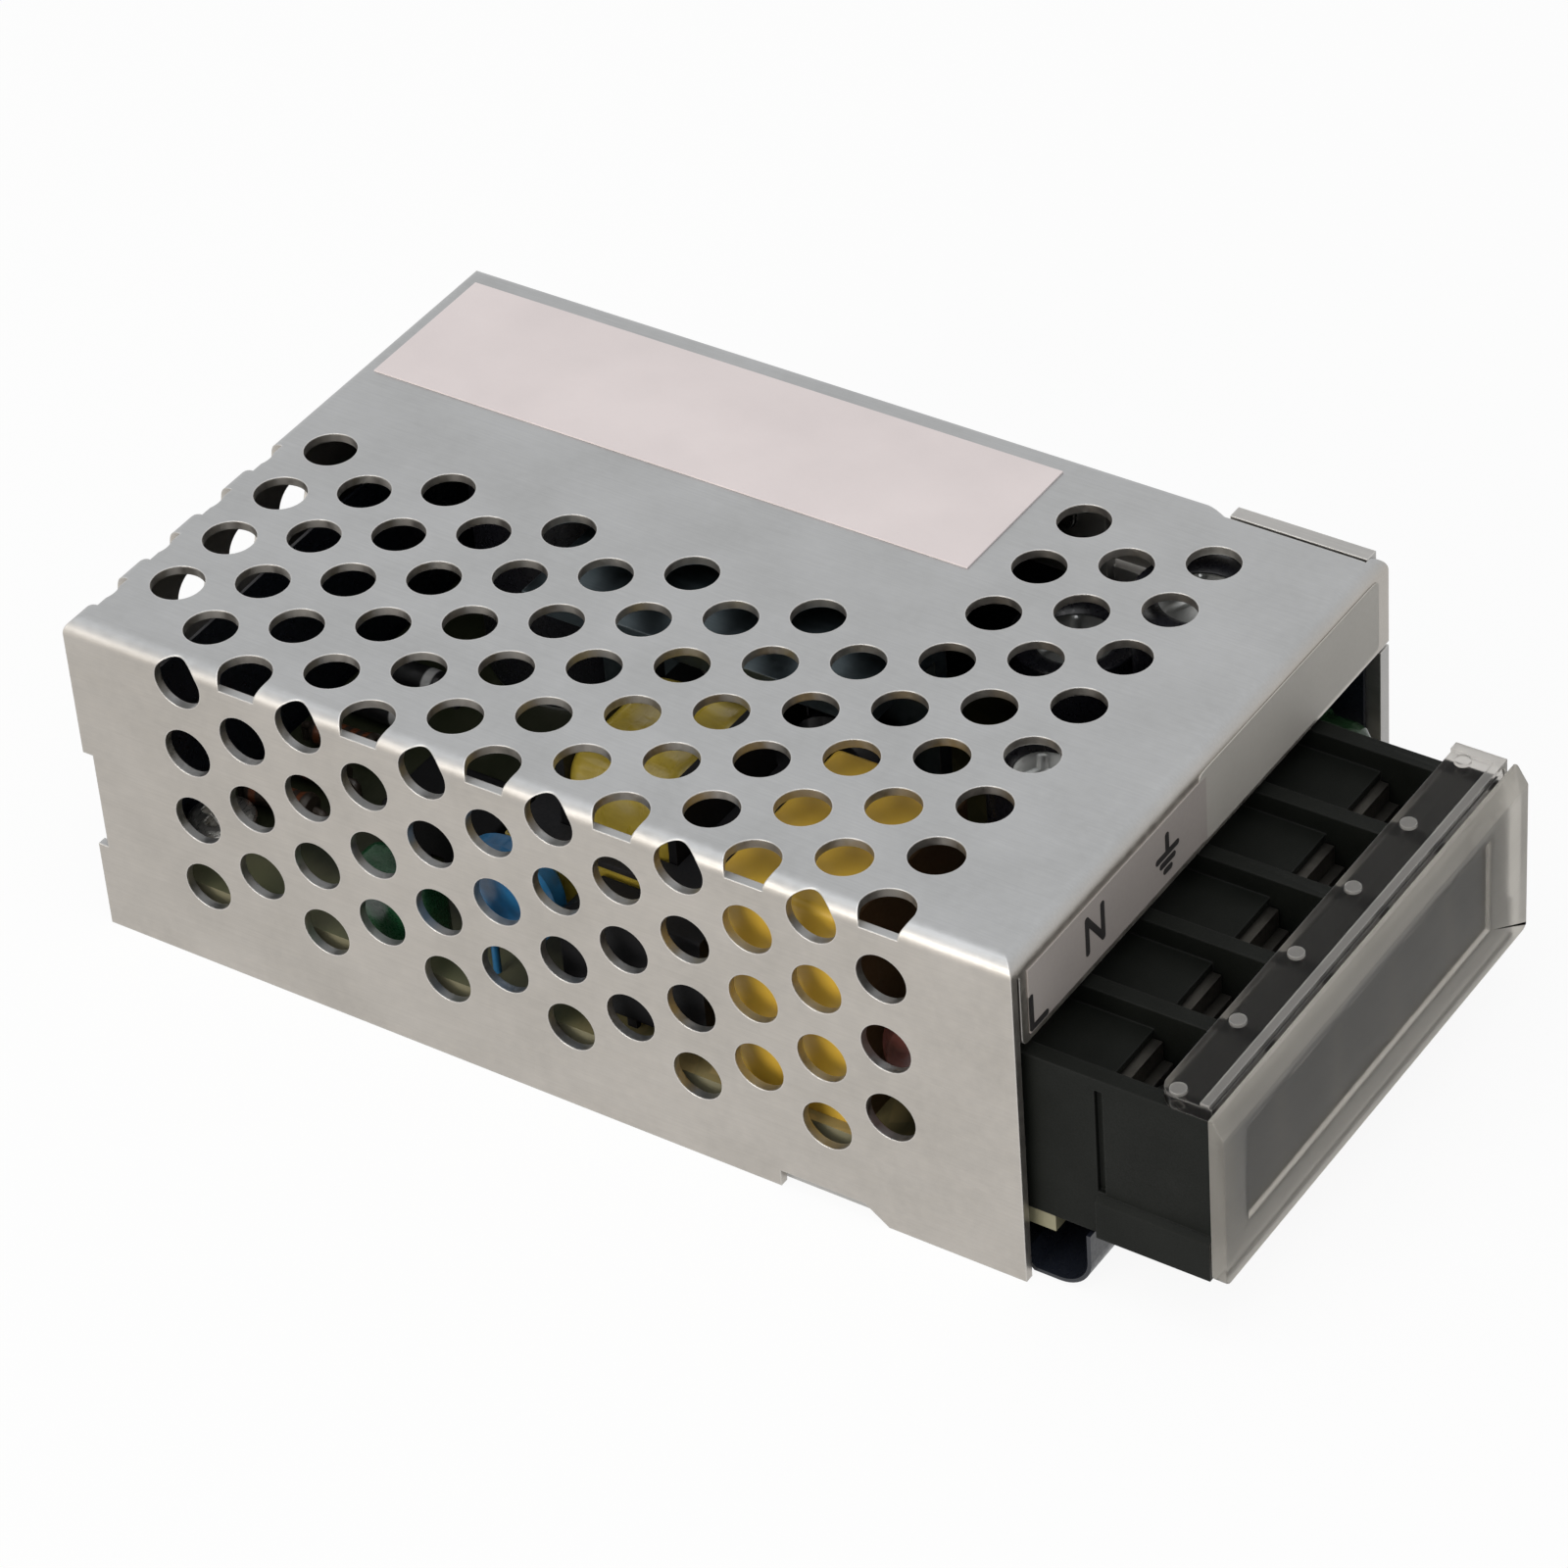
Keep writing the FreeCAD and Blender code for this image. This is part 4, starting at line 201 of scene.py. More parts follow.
# A material under construction: its nodes, its shader, and short ways to add to them
class Finish:
    def __init__(self, name, colour, roughness, metal=0.0, specular=0.5):
        self.material = bpy.data.materials.new(name)
        self.material.use_nodes = True
        self.nodes = self.material.node_tree.nodes
        self.links = self.material.node_tree.links
        self.shader = self.nodes["Principled BSDF"]
        plain = {"Base Color": colour, "Roughness": roughness, "Metallic": metal, "Specular IOR Level": specular}
        for socket, value in plain.items():
            self.set(socket, value)
        coordinates = self.nodes.new("ShaderNodeTexCoord")
        self.place = coordinates.outputs["Object"]
        self.faceNormal = coordinates.outputs["Normal"]
        self.normal = None

    def add(self, kind, inputs, **settings):
        node = self.nodes.new(kind)
        for key, value in settings.items():
            setattr(node, key, value)
        for key, value in inputs.items():
            self.put(node.inputs[key], value)
        return node

    def put(self, socket, value):
        if isinstance(value, bpy.types.NodeSocket):
            self.links.new(value, socket)
        elif isinstance(value, tuple) and len(value) == 3 and socket.type == "RGBA":
            socket.default_value = (*value, 1)
        else:
            socket.default_value = value

    def set(self, socket, value):
        self.put(self.shader.inputs[socket], value)

    # Object coordinates scaled per axis, so that a pattern runs along the grain
    def stretched(self, scale):
        return self.add("ShaderNodeMapping", {"Vector": self.place, "Scale": scale}).outputs[0]

    # Noise whose blobs are about size mm across, longer along an axis with a small stretch
    def noise(self, size, detail, rough, stretch=(1, 1, 1)):
        inputs = {"Vector": self.stretched(stretch), "Scale": 1 / (size * mm), "Detail": detail, "Roughness": rough}
        return self.add("ShaderNodeTexNoise", inputs).outputs["Fac"]

    # Distance within cells about size mm across, from their points or from their borders
    def cells(self, size, feature="F1"):
        inputs = {"Vector": self.stretched((1, 1, 1)), "Scale": 1 / (size * mm)}
        return self.add("ShaderNodeTexVoronoi", inputs, feature=feature).outputs["Distance"]

    # 1 on faces turned along an axis, or against it with way -1, 0 on faces that lie along it
    def facing(self, axis, way=1):
        part = self.add("ShaderNodeSeparateXYZ", {0: self.faceNormal}).outputs[axis]
        return self.spread(part, 0, 1, 0.2 * way, 0.9 * way)

    # 1 where the place is within reach of a middle along an axis, 0 outside, over a soft edge
    def within(self, axis, middle, reach, soft):
        away = self.maths("ABSOLUTE", self.maths("SUBTRACT", self.along(axis), middle))
        return self.spread(away, 1, 0, reach - soft, reach + soft)

    # One coordinate of the place, in metres
    def along(self, axis):
        return self.add("ShaderNodeSeparateXYZ", {0: self.place}).outputs[axis]

    # Carries a range of values over to another, and holds it at its ends
    def spread(self, value, low, high, fromLow=0.0, fromHigh=1.0):
        inputs = {"Value": value, "From Min": fromLow, "From Max": fromHigh, "To Min": low, "To Max": high}
        return self.add("ShaderNodeMapRange", inputs).outputs[0]

    def mix(self, factor, first, second, blend="MIX"):
        colours = {0: factor, 6: first, 7: second}
        return self.add("ShaderNodeMix", colours, data_type="RGBA", blend_type=blend).outputs[2]

    # A colour over another where a value is high, up to a share
    def over(self, base, colour, value, share, fromLow, fromHigh):
        return self.mix(self.spread(value, 0, share, fromLow, fromHigh), base, colour)

    # Blends two colours by a noise, over the middle of its range
    def blotched(self, noise, first, second, fromLow=0.3, fromHigh=0.7):
        return self.over(first, second, noise, 1, fromLow, fromHigh)

    # Sets the roughness from low to high by a noise, over the middle of its range
    def sheen(self, noise, low, high, fromLow=0.3, fromHigh=0.7):
        self.set("Roughness", self.spread(noise, low, high, fromLow, fromHigh))

    def maths(self, operation, first, second=0.5):
        return self.add("ShaderNodeMath", {0: first, 1: second}, operation=operation).outputs[0]

    # Normals as if sharp edges had a small radius, in mm
    def rounded(self, radius):
        return self.add("ShaderNodeBevel", {"Radius": radius * mm}, samples=4).outputs[0]

    # Sets the colour, adds layers of relief (height, strength, depth in mm) and gives the material
    def done(self, colour, *layers):
        self.set("Base Color", colour)
        for height, strength, depth in layers:
            inputs = {"Height": height, "Strength": strength, "Distance": depth * mm}
            if self.normal is not None:
                inputs["Normal"] = self.normal
            self.normal = self.add("ShaderNodeBump", inputs).outputs[0]
        self.set("Normal", self.normal)
        return self.material

    # About 1 along edges and corners, 0 on open faces
    def edges(self, radius):
        rounded = self.rounded(radius)
        plain = self.nodes.new("ShaderNodeNewGeometry").outputs["True Normal"]
        alike = self.add("ShaderNodeVectorMath", {0: rounded, 1: plain}, operation="DOT_PRODUCT")
        return self.spread(alike.outputs["Value"], 1.0, 0.0, 0.75, 0.99)

    # Ambient occlusion for painted shade: 1 in the open, less in corners within the distance, in mm
    def cornerShade(self, distance):
        return self.add("ShaderNodeAmbientOcclusion", {"Distance": distance * mm}, samples=4).outputs["AO"]


# A colour made lighter or darker by a factor
def times(colour, factor):
    return tuple(min(1.0, part * factor) for part in colour)


# Rolled sheet: a fine grain along its length, cloudy mottling, brighter cut edges. Faces turned up
# take the top tint, which is painted light: a cooler, darker top than the sides.
def sheetMetal(name, colour, dark, rough=(0.34, 0.5), edge=(0.74, 0.72, 0.68), top=None):
    look = Finish(name, colour, rough[0], 1.0)
    look.normal = look.rounded(0.12)
    streaks = look.noise(0.16, 4, 0.6, (0.03, 1, 1))
    clouds = look.noise(7, 4, 0.55)
    specks = look.noise(0.7, 3, 0.65)
    base = look.blotched(clouds, dark, colour)
    base = look.over(base, times(colour, 1.18), specks, 0.22, 0.35, 0.75)
    base = look.over(base, times(dark, 0.7), streaks, 0.14, 0.35, 0.7)
    # Painted light: faces turned up are multiplied by the top tint, so the top renders cooler and darker than the
    # sides
    if top is not None:
        base = look.mix(look.facing("Z"), base, look.mix(1.0, base, top, "MULTIPLY"))
    base = look.mix(look.maths("MULTIPLY", look.edges(0.22), 0.5), base, edge)
    look.sheen(look.maths("ADD", specks, streaks), *rough, 0.7, 1.3)
    return look.done(base, (streaks, 0.18, 0.02), (specks, 0.22, 0.03), (clouds, 0.25, 0.12))


# Moulded thermoplastic: a sanded skin, and edges that are worn a little lighter. Faces towards the
# front, at the end's place along X, take the end's colour, if there is one; that colour is painted light on the
# block and painted shade on the yellow box.
def moulding(name, colour, rough=0.45, sand=0.12, wear=0.25, specular=0.5, worn=0.06, end=None):
    look = Finish(name, colour, rough, specular=specular)
    look.normal = look.rounded(0.14)
    sandGrain = look.noise(sand, 3, 0.6)
    clouds = look.noise(4, 3, 0.5)
    lighter = tuple(min(1.0, part * 1.4 + 0.004) for part in colour)
    base = look.over(colour, lighter, clouds, 0.5, 0.3, 0.7)
    # The end colour is painted: lighter front faces on the block, a shaded front on the yellow box
    if end is not None:
        front = look.maths("MULTIPLY", look.facing("X"), look.within("X", end["at"], 0.4 * mm, 0.1 * mm))
        base = look.mix(front, base, end["colour"])
    rubbed = tuple(part + worn for part in lighter)
    base = look.mix(look.maths("MULTIPLY", look.edges(0.22), wear), base, rubbed)
    look.sheen(sandGrain, rough - 0.08, rough + 0.12)
    return look.done(base, (sandGrain, 0.3, 0.03), (clouds, 0.15, 0.08))


# Plated or turned metal with fine scratches, patches of tarnish, and painted shade darkening its corners
def platedMetal(name, colour, rough, scratch=(1, 0.06, 1)):
    look = Finish(name, colour, rough, 1.0)
    look.normal = look.rounded(0.08)
    fine = look.noise(0.09, 3, 0.6, scratch)
    tarnish = look.noise(1.1, 4, 0.6)
    base = look.over(colour, times(colour, 0.62), tarnish, 0.6, 0.4, 0.75)
    # Painted shade: corners within 0.8 mm darken towards 0.3 of the colour
    corner = look.spread(look.cornerShade(0.8), 0.6, 0.0, 0.2, 0.8)
    base = look.mix(corner, base, times(colour, 0.3))
    look.sheen(fine, rough - 0.06, rough + 0.16)
    return look.done(base, (fine, 0.25, 0.015))


# Dipped or lacquered coating: smooth, slightly lumpy, with pinholes. Parts that stand more than 12 mm
# in from the near side have the inner colour, if there is one: painted shade for parts deep in the case.
def dippedCoat(name, colour, rough, inner=None):
    look = Finish(name, colour, rough)
    lumps = look.noise(1.2, 2, 0.4)
    fine = look.noise(0.15, 3, 0.6)
    base = look.blotched(lumps, times(colour, 0.62), colour)
    # Painted shade: more than 12 mm in from the near side the colour turns to the inner colour
    if inner is not None:
        inward = look.maths("SUBTRACT", look.along("Y"), nearY)
        base = look.over(base, inner, inward, 1, 12 * mm, 13 * mm)
    pinholes = look.spread(look.cells(0.8), 0.5, 0.0, 0.02, 0.14)
    base = look.mix(pinholes, base, times(colour, 0.35))
    look.sheen(fine, rough - 0.05, rough + 0.15)
    look.set("Coat Weight", 0.3)
    look.set("Coat Roughness", 0.15)
    return look.done(base, (lumps, 0.5, 0.25), (fine, 0.2, 0.02))


# Plain polyester film with a faint orange peel
def film(name, colour, rough, specular=0.5):
    look = Finish(name, colour, rough, specular=specular)
    peel = look.noise(0.35, 3, 0.5)
    clouds = look.noise(9, 3, 0.5)
    base = look.blotched(clouds, times(colour, 0.93), colour, 0.35, 0.65)
    grit = look.noise(0.12, 2, 0.6)
    base = look.over(base, times(colour, 0.8), grit, 0.05, 0.4, 0.7)
    look.sheen(peel, rough - 0.05, rough + 0.1)
    return look.done(base, (peel, 0.2, 0.03), (clouds, 0.2, 0.1))


# Clear moulding: tinted, with faint flow lines and fine rub marks. Its milkiness is the haze, the edge
# haze along its edges, the raised haze above a height, and the window's haze outside a polished window,
# which itself has none. Its faces towards the near side are darker by a factor, a painted shade.
def clearPlastic(name, tint, rough, bend, haze, edgeHaze, raised=None, window=None, nearEndShade=1.0):
    look = Finish(name, tint, rough)
    swirl = look.noise(3.5, 2, 0.5, (1, 0.3, 1))
    rubs = look.noise(0.3, 3, 0.6, (1, 0.06, 1))
    base = look.blotched(swirl, times(tint, 0.9), tint)
    # Painted shade: faces towards the near side are darkened by the factor
    if nearEndShade < 1.0:
        base = look.mix(look.facing("Y", -1), base, times(tint, nearEndShade))
    skin = look.spread(rubs, rough, rough + 0.1, 0.45, 0.75)
    if window is not None:
        haze += window["haze"]
    milky = look.spread(look.edges(0.16), haze, haze + edgeHaze)
    if raised is not None:
        above, soft = raised["above"], 0.1 * mm
        high = look.spread(look.along("Z"), 0, raised["haze"], above - soft, above + soft)
        milky = look.maths("ADD", milky, high)
    if window is not None:
        across = look.within("Y", *window["across"], 0.3 * mm)
        inside = look.maths("MULTIPLY", across, look.within("Z", *window["up"], 0.3 * mm))
        milky = look.maths("MULTIPLY", milky, look.spread(inside, 1, 0))
        skin = look.maths("ADD", skin, look.spread(inside, window["rough"], 0))
    look.set("Roughness", skin)
    look.set("Transmission Weight", look.spread(milky, 1, 0))
    look.set("IOR", bend)
    return look.done(base, (swirl, 0.06, 0.1))


# Board: tan laminate at the front and olive lacquer behind it, darkened by painted shade further in from
# the near side and close to the front, with the weave just visible
def laminate(name):
    look = Finish(name, (0.34, 0.32, 0.19), 0.4)
    waves = {"Vector": look.place, "Scale": 900.0, "Distortion": 1.5}
    weave = look.add("ShaderNodeTexWave", waves).outputs["Fac"]
    clouds = look.noise(3, 3, 0.5)
    tracks = look.spread(look.cells(4.5, "DISTANCE_TO_EDGE"), 1.0, 0.0, 0.10, 0.14)
    tan = look.blotched(clouds, (0.36, 0.28, 0.12), (0.47, 0.37, 0.17))
    olive = look.blotched(clouds, (0.105, 0.115, 0.06), (0.16, 0.155, 0.09))
    top = look.over(olive, tan, look.along("X"), 1, -8 * mm, 1 * mm)
    top = look.mix(look.maths("MULTIPLY", tracks, 0.35), top, (0.12, 0.13, 0.065))
    # Painted shade: the top darkens to about a fifth more than 6 to 8 mm in from the near side and within 12 to 15
    # mm of the front
    inward = look.maths("SUBTRACT", look.along("Y"), nearY)
    ragged = look.maths("ADD", inward, look.spread(clouds, -1 * mm, 1 * mm))
    paintedShadeMask = look.spread(ragged, 0, 1, 6 * mm, 8 * mm)
    ahead = look.spread(look.along("X"), 0, 1, frontX - 15 * mm, frontX - 12 * mm)
    paintedShadeMask = look.maths("MAXIMUM", paintedShadeMask, ahead)
    top = look.mix(paintedShadeMask, top, look.mix(1.0, top, (0.2, 0.22, 0.2), "MULTIPLY"))
    base = look.mix(look.facing("Z"), (0.22, 0.205, 0.13), top)
    look.sheen(clouds, 0.32, 0.5)
    return look.done(base, (weave, 0.15, 0.02), (clouds, 0.15, 0.05))


# Turns of polyester tape: glossy yellow, creased, with the lap lines of each layer
def taped(name, colour, dark):
    look = Finish(name, colour, 0.28)
    lap = look.noise(0.9, 3, 0.55, (1, 0.2, 0.2))
    wrinkle = look.noise(1.6, 4, 0.6, (0.5, 1.3, 1))
    base = look.blotched(wrinkle, dark, colour)
    look.sheen(lap, 0.2, 0.42)
    look.set("Coat Weight", 0.4)
    look.set("Coat Roughness", 0.12)
    return look.done(base, (wrinkle, 0.6, 0.2), (lap, 0.4, 0.05))


# Lacquered body lying along X, with narrow bands round it at some distances behind the front
def banded(name, colour, band, places, width):
    look = Finish(name, colour, 0.35)
    lumps = look.noise(0.7, 2, 0.5)
    behind = look.maths("SUBTRACT", frontX, look.along("X"))
    base = look.blotched(lumps, times(colour, 0.7), colour)
    for place in places:
        away = look.maths("ABSOLUTE", look.maths("SUBTRACT", behind, place * mm))
        base = look.mix(look.spread(away, 1, 0, width * 0.4 * mm, width * 0.6 * mm), base, band)
    look.sheen(lumps, 0.28, 0.45)
    return look.done(base, (lumps, 0.3, 0.1))


# Tinted clear resin of the indicator lamp
def resin(name, tint):
    look = Finish(name, tint, 0.12)
    swirl = look.noise(0.8, 3, 0.5)
    base = look.blotched(swirl, times(tint, 0.8), tint)
    look.sheen(swirl, 0.08, 0.2)
    look.set("Transmission Weight", 0.6)
    return look.done(base, (swirl, 0.1, 0.03))


# Dark marking ink, thin at its edges
def ink(name, colour):
    look = Finish(name, colour, 0.5, specular=0.3)
    grit = look.noise(0.12, 3, 0.6)
    base = look.blotched(grit, colour, times(colour, 2.2), 0.35)
    look.sheen(grit, 0.45, 0.65)
    return look.done(base, (grit, 0.2, 0.01))


# Painted light: the block's faces towards the front are lightened to stand in for the brightness seen through the
# flap
blockEndPaintedLight = {"colour": (0.045, 0.043, 0.038), "at": 45.7 * mm}  # the faces towards the front
# Painted shade: the yellow box capacitor's faces towards the front are darkened brown for the shade on that end
boxEndPaintedShade = {"colour": (0.10, 0.055, 0.025), "at": 17.3 * mm}
stripRaised = {"above": 20.8 * mm, "haze": 0.3}  # peg heads, ridge and end lip
flapRaised = {"above": 18.9 * mm, "haze": 0.12}
flapWindow = {
    "across": (-5.3 * mm, 17.2 * mm),  # middle and half width
    "up": (14.2 * mm, 4.4 * mm),  # middle and half height
    "haze": 0.12,  # of what lies round it, which is also rougher
    "rough": 0.06,
}
finishes = [  # each finish, and the nodes that wear it
    (
        # Painted light: the warm base colour stands in for warm light on the sides, and the top tint makes the top
        # cool
        sheetMetal(
            "coverMetal", (0.465, 0.437, 0.402), (0.41, 0.385, 0.352),
            edge=(0.74, 0.73, 0.7), top=(0.89, 0.957, 1.05)
        ),
        "vent_cover",
    ),
    (sheetMetal("chassisMetal", (0.42, 0.41, 0.395), (0.375, 0.37, 0.36), (0.4, 0.55)), "chassis"),
    (
        platedMetal("screwSteel", (0.58, 0.57, 0.54), 0.28),
        "cover_screws", "board_standoffs", "board_screws", "tab_screws",
    ),
    (film("labelFilm", (0.74, 0.66, 0.65), 0.38), "rating_label"),
    (film("stripFilm", (0.37, 0.335, 0.315), 0.55, specular=0.3), "marking_strip"),
    (film("flangeFilm", (0.44, 0.42, 0.385), 0.55, specular=0.3),),
    (film("insulationFilm", (0.010, 0.012, 0.018), 0.3, specular=0.4), "insulation_sheet"),
    (laminate("boardLaminate"), "circuit_board"),
    (
        moulding("blockPlastic", (0.0042, 0.0049, 0.0038), 0.5, specular=0.1, worn=0.04, end=blockEndPaintedLight),
        "terminal_block",
    ),
    # Painted shade: this plated metal is darkened far below tin plate to stand in for the shade inside the
    # compartments
    (
        platedMetal("shadedTerminalMetal", (0.07, 0.066, 0.058), 0.4, (1, 1, 0.08)),
        "terminal_plates", "terminal_washers", "fuse_caps",
    ),
    # Painted shade: a darker copy of the screw steel, for the terminal screws in the shaded compartments
    (platedMetal("shadedTerminalScrewSteel", (0.17, 0.166, 0.158), 0.3), "terminal_screws"),
    (clearPlastic("clearPlastic", (0.58, 0.56, 0.53), 0.29, 1.17, 0.01, 0.35, stripRaised), "cover_strip"),
    (
        # Painted shade: the flap's near end is darkened to 0.55 of its tint
        clearPlastic("flapPlastic", (0.54, 0.515, 0.47), 0.29, 1.15, 0.01, 0.25, flapRaised, flapWindow, 0.55),
        "cover_flap",
    ),
    (clearPlastic("fuseGlass", (0.93, 0.95, 0.95), 0.03, 1.4, 0.0, 0.1), "fuse_tube"),
    (dippedCoat("maroonCoat", (0.13, 0.035, 0.028), 0.42), "inrush_thermistor"),
    # Painted shade: the blue capacitors further in from the near side are nearly black
    (dippedCoat("blueCoat", (0.025, 0.18, 0.40), 0.32, inner=(0.02, 0.022, 0.03)), "y_capacitors"),
    (moulding("yellowCase", (0.61, 0.39, 0.045), 0.4, 0.2, 0.15, end=boxEndPaintedShade), "x_capacitor"),
    (dippedCoat("greenCase", (0.014, 0.085, 0.033), 0.25), "film_capacitor"),
    (
        moulding("darkFerrite", (0.014, 0.014, 0.016), 0.6, 0.25, 0.3, 0.2, 0.03),
        "choke_core", "transformer_core", "output_choke_core",
    ),
    (platedMetal("enamelCopper", (0.5, 0.2, 0.08), 0.3), "choke_windings", "output_choke_winding"),
    (
        moulding("blackPlastic", (0.007, 0.007, 0.008), 0.5, specular=0.18, worn=0.03),
        "choke_base", "transformer_bobbin", "switch_transistor", "output_rectifier", "bridge_rectifier",
        "controller_chip", "optocoupler",
    ),
    (taped("tapeYellow", (0.57, 0.43, 0.06), (0.40, 0.29, 0.035)), "transformer_winding", "transformer_tape"),
    (platedMetal("canAluminium", (0.52, 0.53, 0.52), 0.42), "bulk_capacitor", "output_capacitors"),
    (film("sleeveBlack", (0.012, 0.012, 0.016), 0.28), "bulk_capacitor_sleeve", "output_capacitor_sleeves"),
    (
        sheetMetal("heatsinkSlate", (0.10, 0.125, 0.14), (0.07, 0.09, 0.1), (0.38, 0.55), (0.3, 0.33, 0.35)),
        "transistor_heatsink", "rectifier_heatsink",
    ),
    (moulding("padGrey", (0.42, 0.43, 0.45), 0.7), "insulating_pads"),
    (
        banded("resistorCoat", (0.045, 0.034, 0.026), (0.16, 0.05, 0.02), (68.6, 69.7, 70.8, 72.5), 0.5),
        "resistors",
    ),
    (banded("diodeCase", (0.014, 0.014, 0.015), (0.5, 0.5, 0.5), (68.6,), 0.8), "diodes"),
    (resin("lampResin", (0.03, 0.09, 0.035)), "indicator_lamp"),
    (moulding("trimmerPlastic", (0.42, 0.40, 0.32), 0.45), "trimmer_body", "trimmer_rotor"),
    (ink("markInk", (0.012, 0.011, 0.011)),),
]


# Gives a mesh its one material
def dress(mesh, finish):
    mesh.materials.clear()
    mesh.materials.append(bpy.data.materials[finish])


for finish, *nodes in finishes:
    for node in nodes:
        dress(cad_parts[node].data, finish.name)
print("materials are on", sum(len(nodes) for _, *nodes in finishes), "nodes")

# Surfaces: every shape is a grid of points from arrays, and its quads


# Quads over a grid of rows by columns, its columns joined round when it is closed
def gridQuads(rows, columns, closed):
    across = np.arange(columns if closed else columns - 1)
    down = np.arange(rows - 1)[:, None]
    after = (across + 1) % columns
    first = down * columns
    quads = np.stack([first + across, first + after, first + columns + after, first + columns + across], axis=-1)
    return quads.reshape(-1, 4)


# A grid of points with shape (rows, columns, 3) as flat points and quads
def surface(points, closed=True):
    rows, columns = points.shape[:2]
    return points.reshape(-1, 3), gridQuads(rows, columns, closed)


# Several surfaces as one
def joined(parts):
    starts = np.cumsum([0] + [len(points) for points, _ in parts[:-1]])
    points = np.concatenate([points for points, _ in parts])
    quads = np.concatenate([quads + start for start, (_, quads) in zip(starts, parts)])
    return points, quads


# Turned shape: each profile point (radius, height) goes round the axis as radius*cos, radius*sin, height.
# lift adds a height that depends on radius, angle and height, for what is pressed into a face.
def turnedShape(profile, turns, lift=None):
    profile = np.array(profile, float)
    angle = np.linspace(0, fullTurn, turns, endpoint=False)
    radius = profile[:, 0][:, None] * np.ones(turns)
    height = profile[:, 1][:, None] * np.ones(turns)
    if lift is not None:
        height = height + lift(radius, angle[None, :] * np.ones_like(radius), height)
    return np.stack([radius * np.cos(angle), radius * np.sin(angle), height], axis=-1)


axes = {
    "X": [[0, 1, 0], [0, 0, 1], [1, 0, 0]],
    "-X": [[0, 1, 0], [0, 0, -1], [-1, 0, 0]],
    "Y": [[1, 0, 0], [0, 0, -1], [0, 1, 0]],
    "-Y": [[1, 0, 0], [0, 0, 1], [0, -1, 0]],
    "Z": [[1, 0, 0], [0, 1, 0], [0, 0, 1]],
}


# Surface of a shape made along Z, turned so that it runs along another axis and set down at a spot
def stood(points, axis, spot):
    return surface(points @ np.array(axes[axis], float) + np.array(spot))


# A place on the board, from its distances behind the front and in from the near side, in mm
def boardSpot(back, inward):
    return frontX - back * mm, nearY + inward * mm, boardTop


# Quarter circle in a profile, from beside its middle to above it
def bendProfile(middle, radius, steps=5):
    turn = np.linspace(0, quarterTurn, steps)
    return np.column_stack([middle[0] + radius * np.cos(turn), middle[1] + radius * np.sin(turn)])


# Rounded rectangle: a superellipse with two half sizes, whose corners get tighter with its squareness
def roundedRectangle(half, squareness, steps):
    turn = np.linspace(0, fullTurn, steps, endpoint=False)
    cos, sin = np.cos(turn), np.sin(turn)
    power = 2 / squareness
    return turn, half[0] * np.sign(cos) * np.abs(cos) ** power, half[1] * np.sign(sin) * np.abs(sin) ** power


# Round wire: circles carried along a path, square to its direction, with its ends drawn to a point
def wireShape(path, wire, around=8):
    path = np.array(path, float)
    ahead = np.gradient(path, axis=0)
    ahead /= np.linalg.norm(ahead, axis=1)[:, None]
    helper = np.where(np.abs(ahead[:, 2:3]) < 0.9, np.array([[0.0, 0, 1]]), np.array([[1.0, 0, 0]]))
    side = np.cross(ahead, helper)
    side /= np.linalg.norm(side, axis=1)[:, None]
    over = np.cross(side, ahead)
    angle = np.linspace(0, fullTurn, around, endpoint=False)
    circle = side[:, None] * np.cos(angle)[None, :, None] + over[:, None] * np.sin(angle)[None, :, None]
    tube = path[:, None] + wire * circle
    ends = [np.repeat(path[end][None, None], around, axis=1) for end in (0, -1)]
    return np.concatenate([ends[0], tube, ends[1]])


# Puts surfaces into one mesh, welds its poles and seams, and turns its faces outwards
def makePiece(name, parts, finish, slot, *replaced, sharp=35):
    points, quads = joined(parts)
    mesh = bpy.data.meshes.new(name)
    mesh.from_pydata(points.tolist(), [], quads.tolist())
    shell = bmesh.new()
    shell.from_mesh(mesh)
    bmesh.ops.remove_doubles(shell, verts=shell.verts, dist=weld)
    bmesh.ops.recalc_face_normals(shell, faces=shell.faces)
    shell.to_mesh(mesh)
    shell.free()
    mesh.shade_smooth()
    mesh.set_sharp_from_angle(angle=math.radians(sharp))
    dress(mesh, finish)
    settlePiece(name, mesh, "case", replaced)


# Links a finished mesh as a piece of one body
def settlePiece(name, mesh, body, replaced):
    piece = linked(name, mesh)
    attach(piece, body)
    if replaced:
        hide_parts(*replaced)
    return piece


# Screws with a cross recess: the head's top sinks where either arm of the cross passes

recess = {
    "arm": 0.42, "reach": 0.62, "slope": 0.12,  # shares of the head's radius
    "depth": 0.62,  # share of the head's rise
    "rising": 0.45,  # share of the depth that is lost at the end of an arm
}
screwForm = {
    "turns": 64, "topRings": 26, "bendRings": 5, "threads": 16,
    "crown": 0.35,  # fall of the top to its rim, a share of the dome
    "bendFrom": 0.3,  # radians from upright
    "edge": 0.1, "foot": 0.94,  # where the head's side ends, shares of its rise and radius
    "threadDepth": 0.07, "tip": 0.6,  # shares of the shank's radius
    "threaded": (0.04, 0.94),  # share of the length
}


# How far inside a cross a spot on the head lies: a product of two ramps, one to the side of the arm and
# one towards its end. Gives the distance along the arm too.
def crossOf(radius, angle, halfArm, reach, slope):
    along = np.abs(radius * np.cos(angle))
    across = np.abs(radius * np.sin(angle))
    longer = np.maximum(along, across)
    shorter = np.minimum(along, across)
    inside = np.clip((halfArm - shorter) / slope, 0, 1) * np.clip((reach - longer) / slope, 0, 1)
    return inside, longer


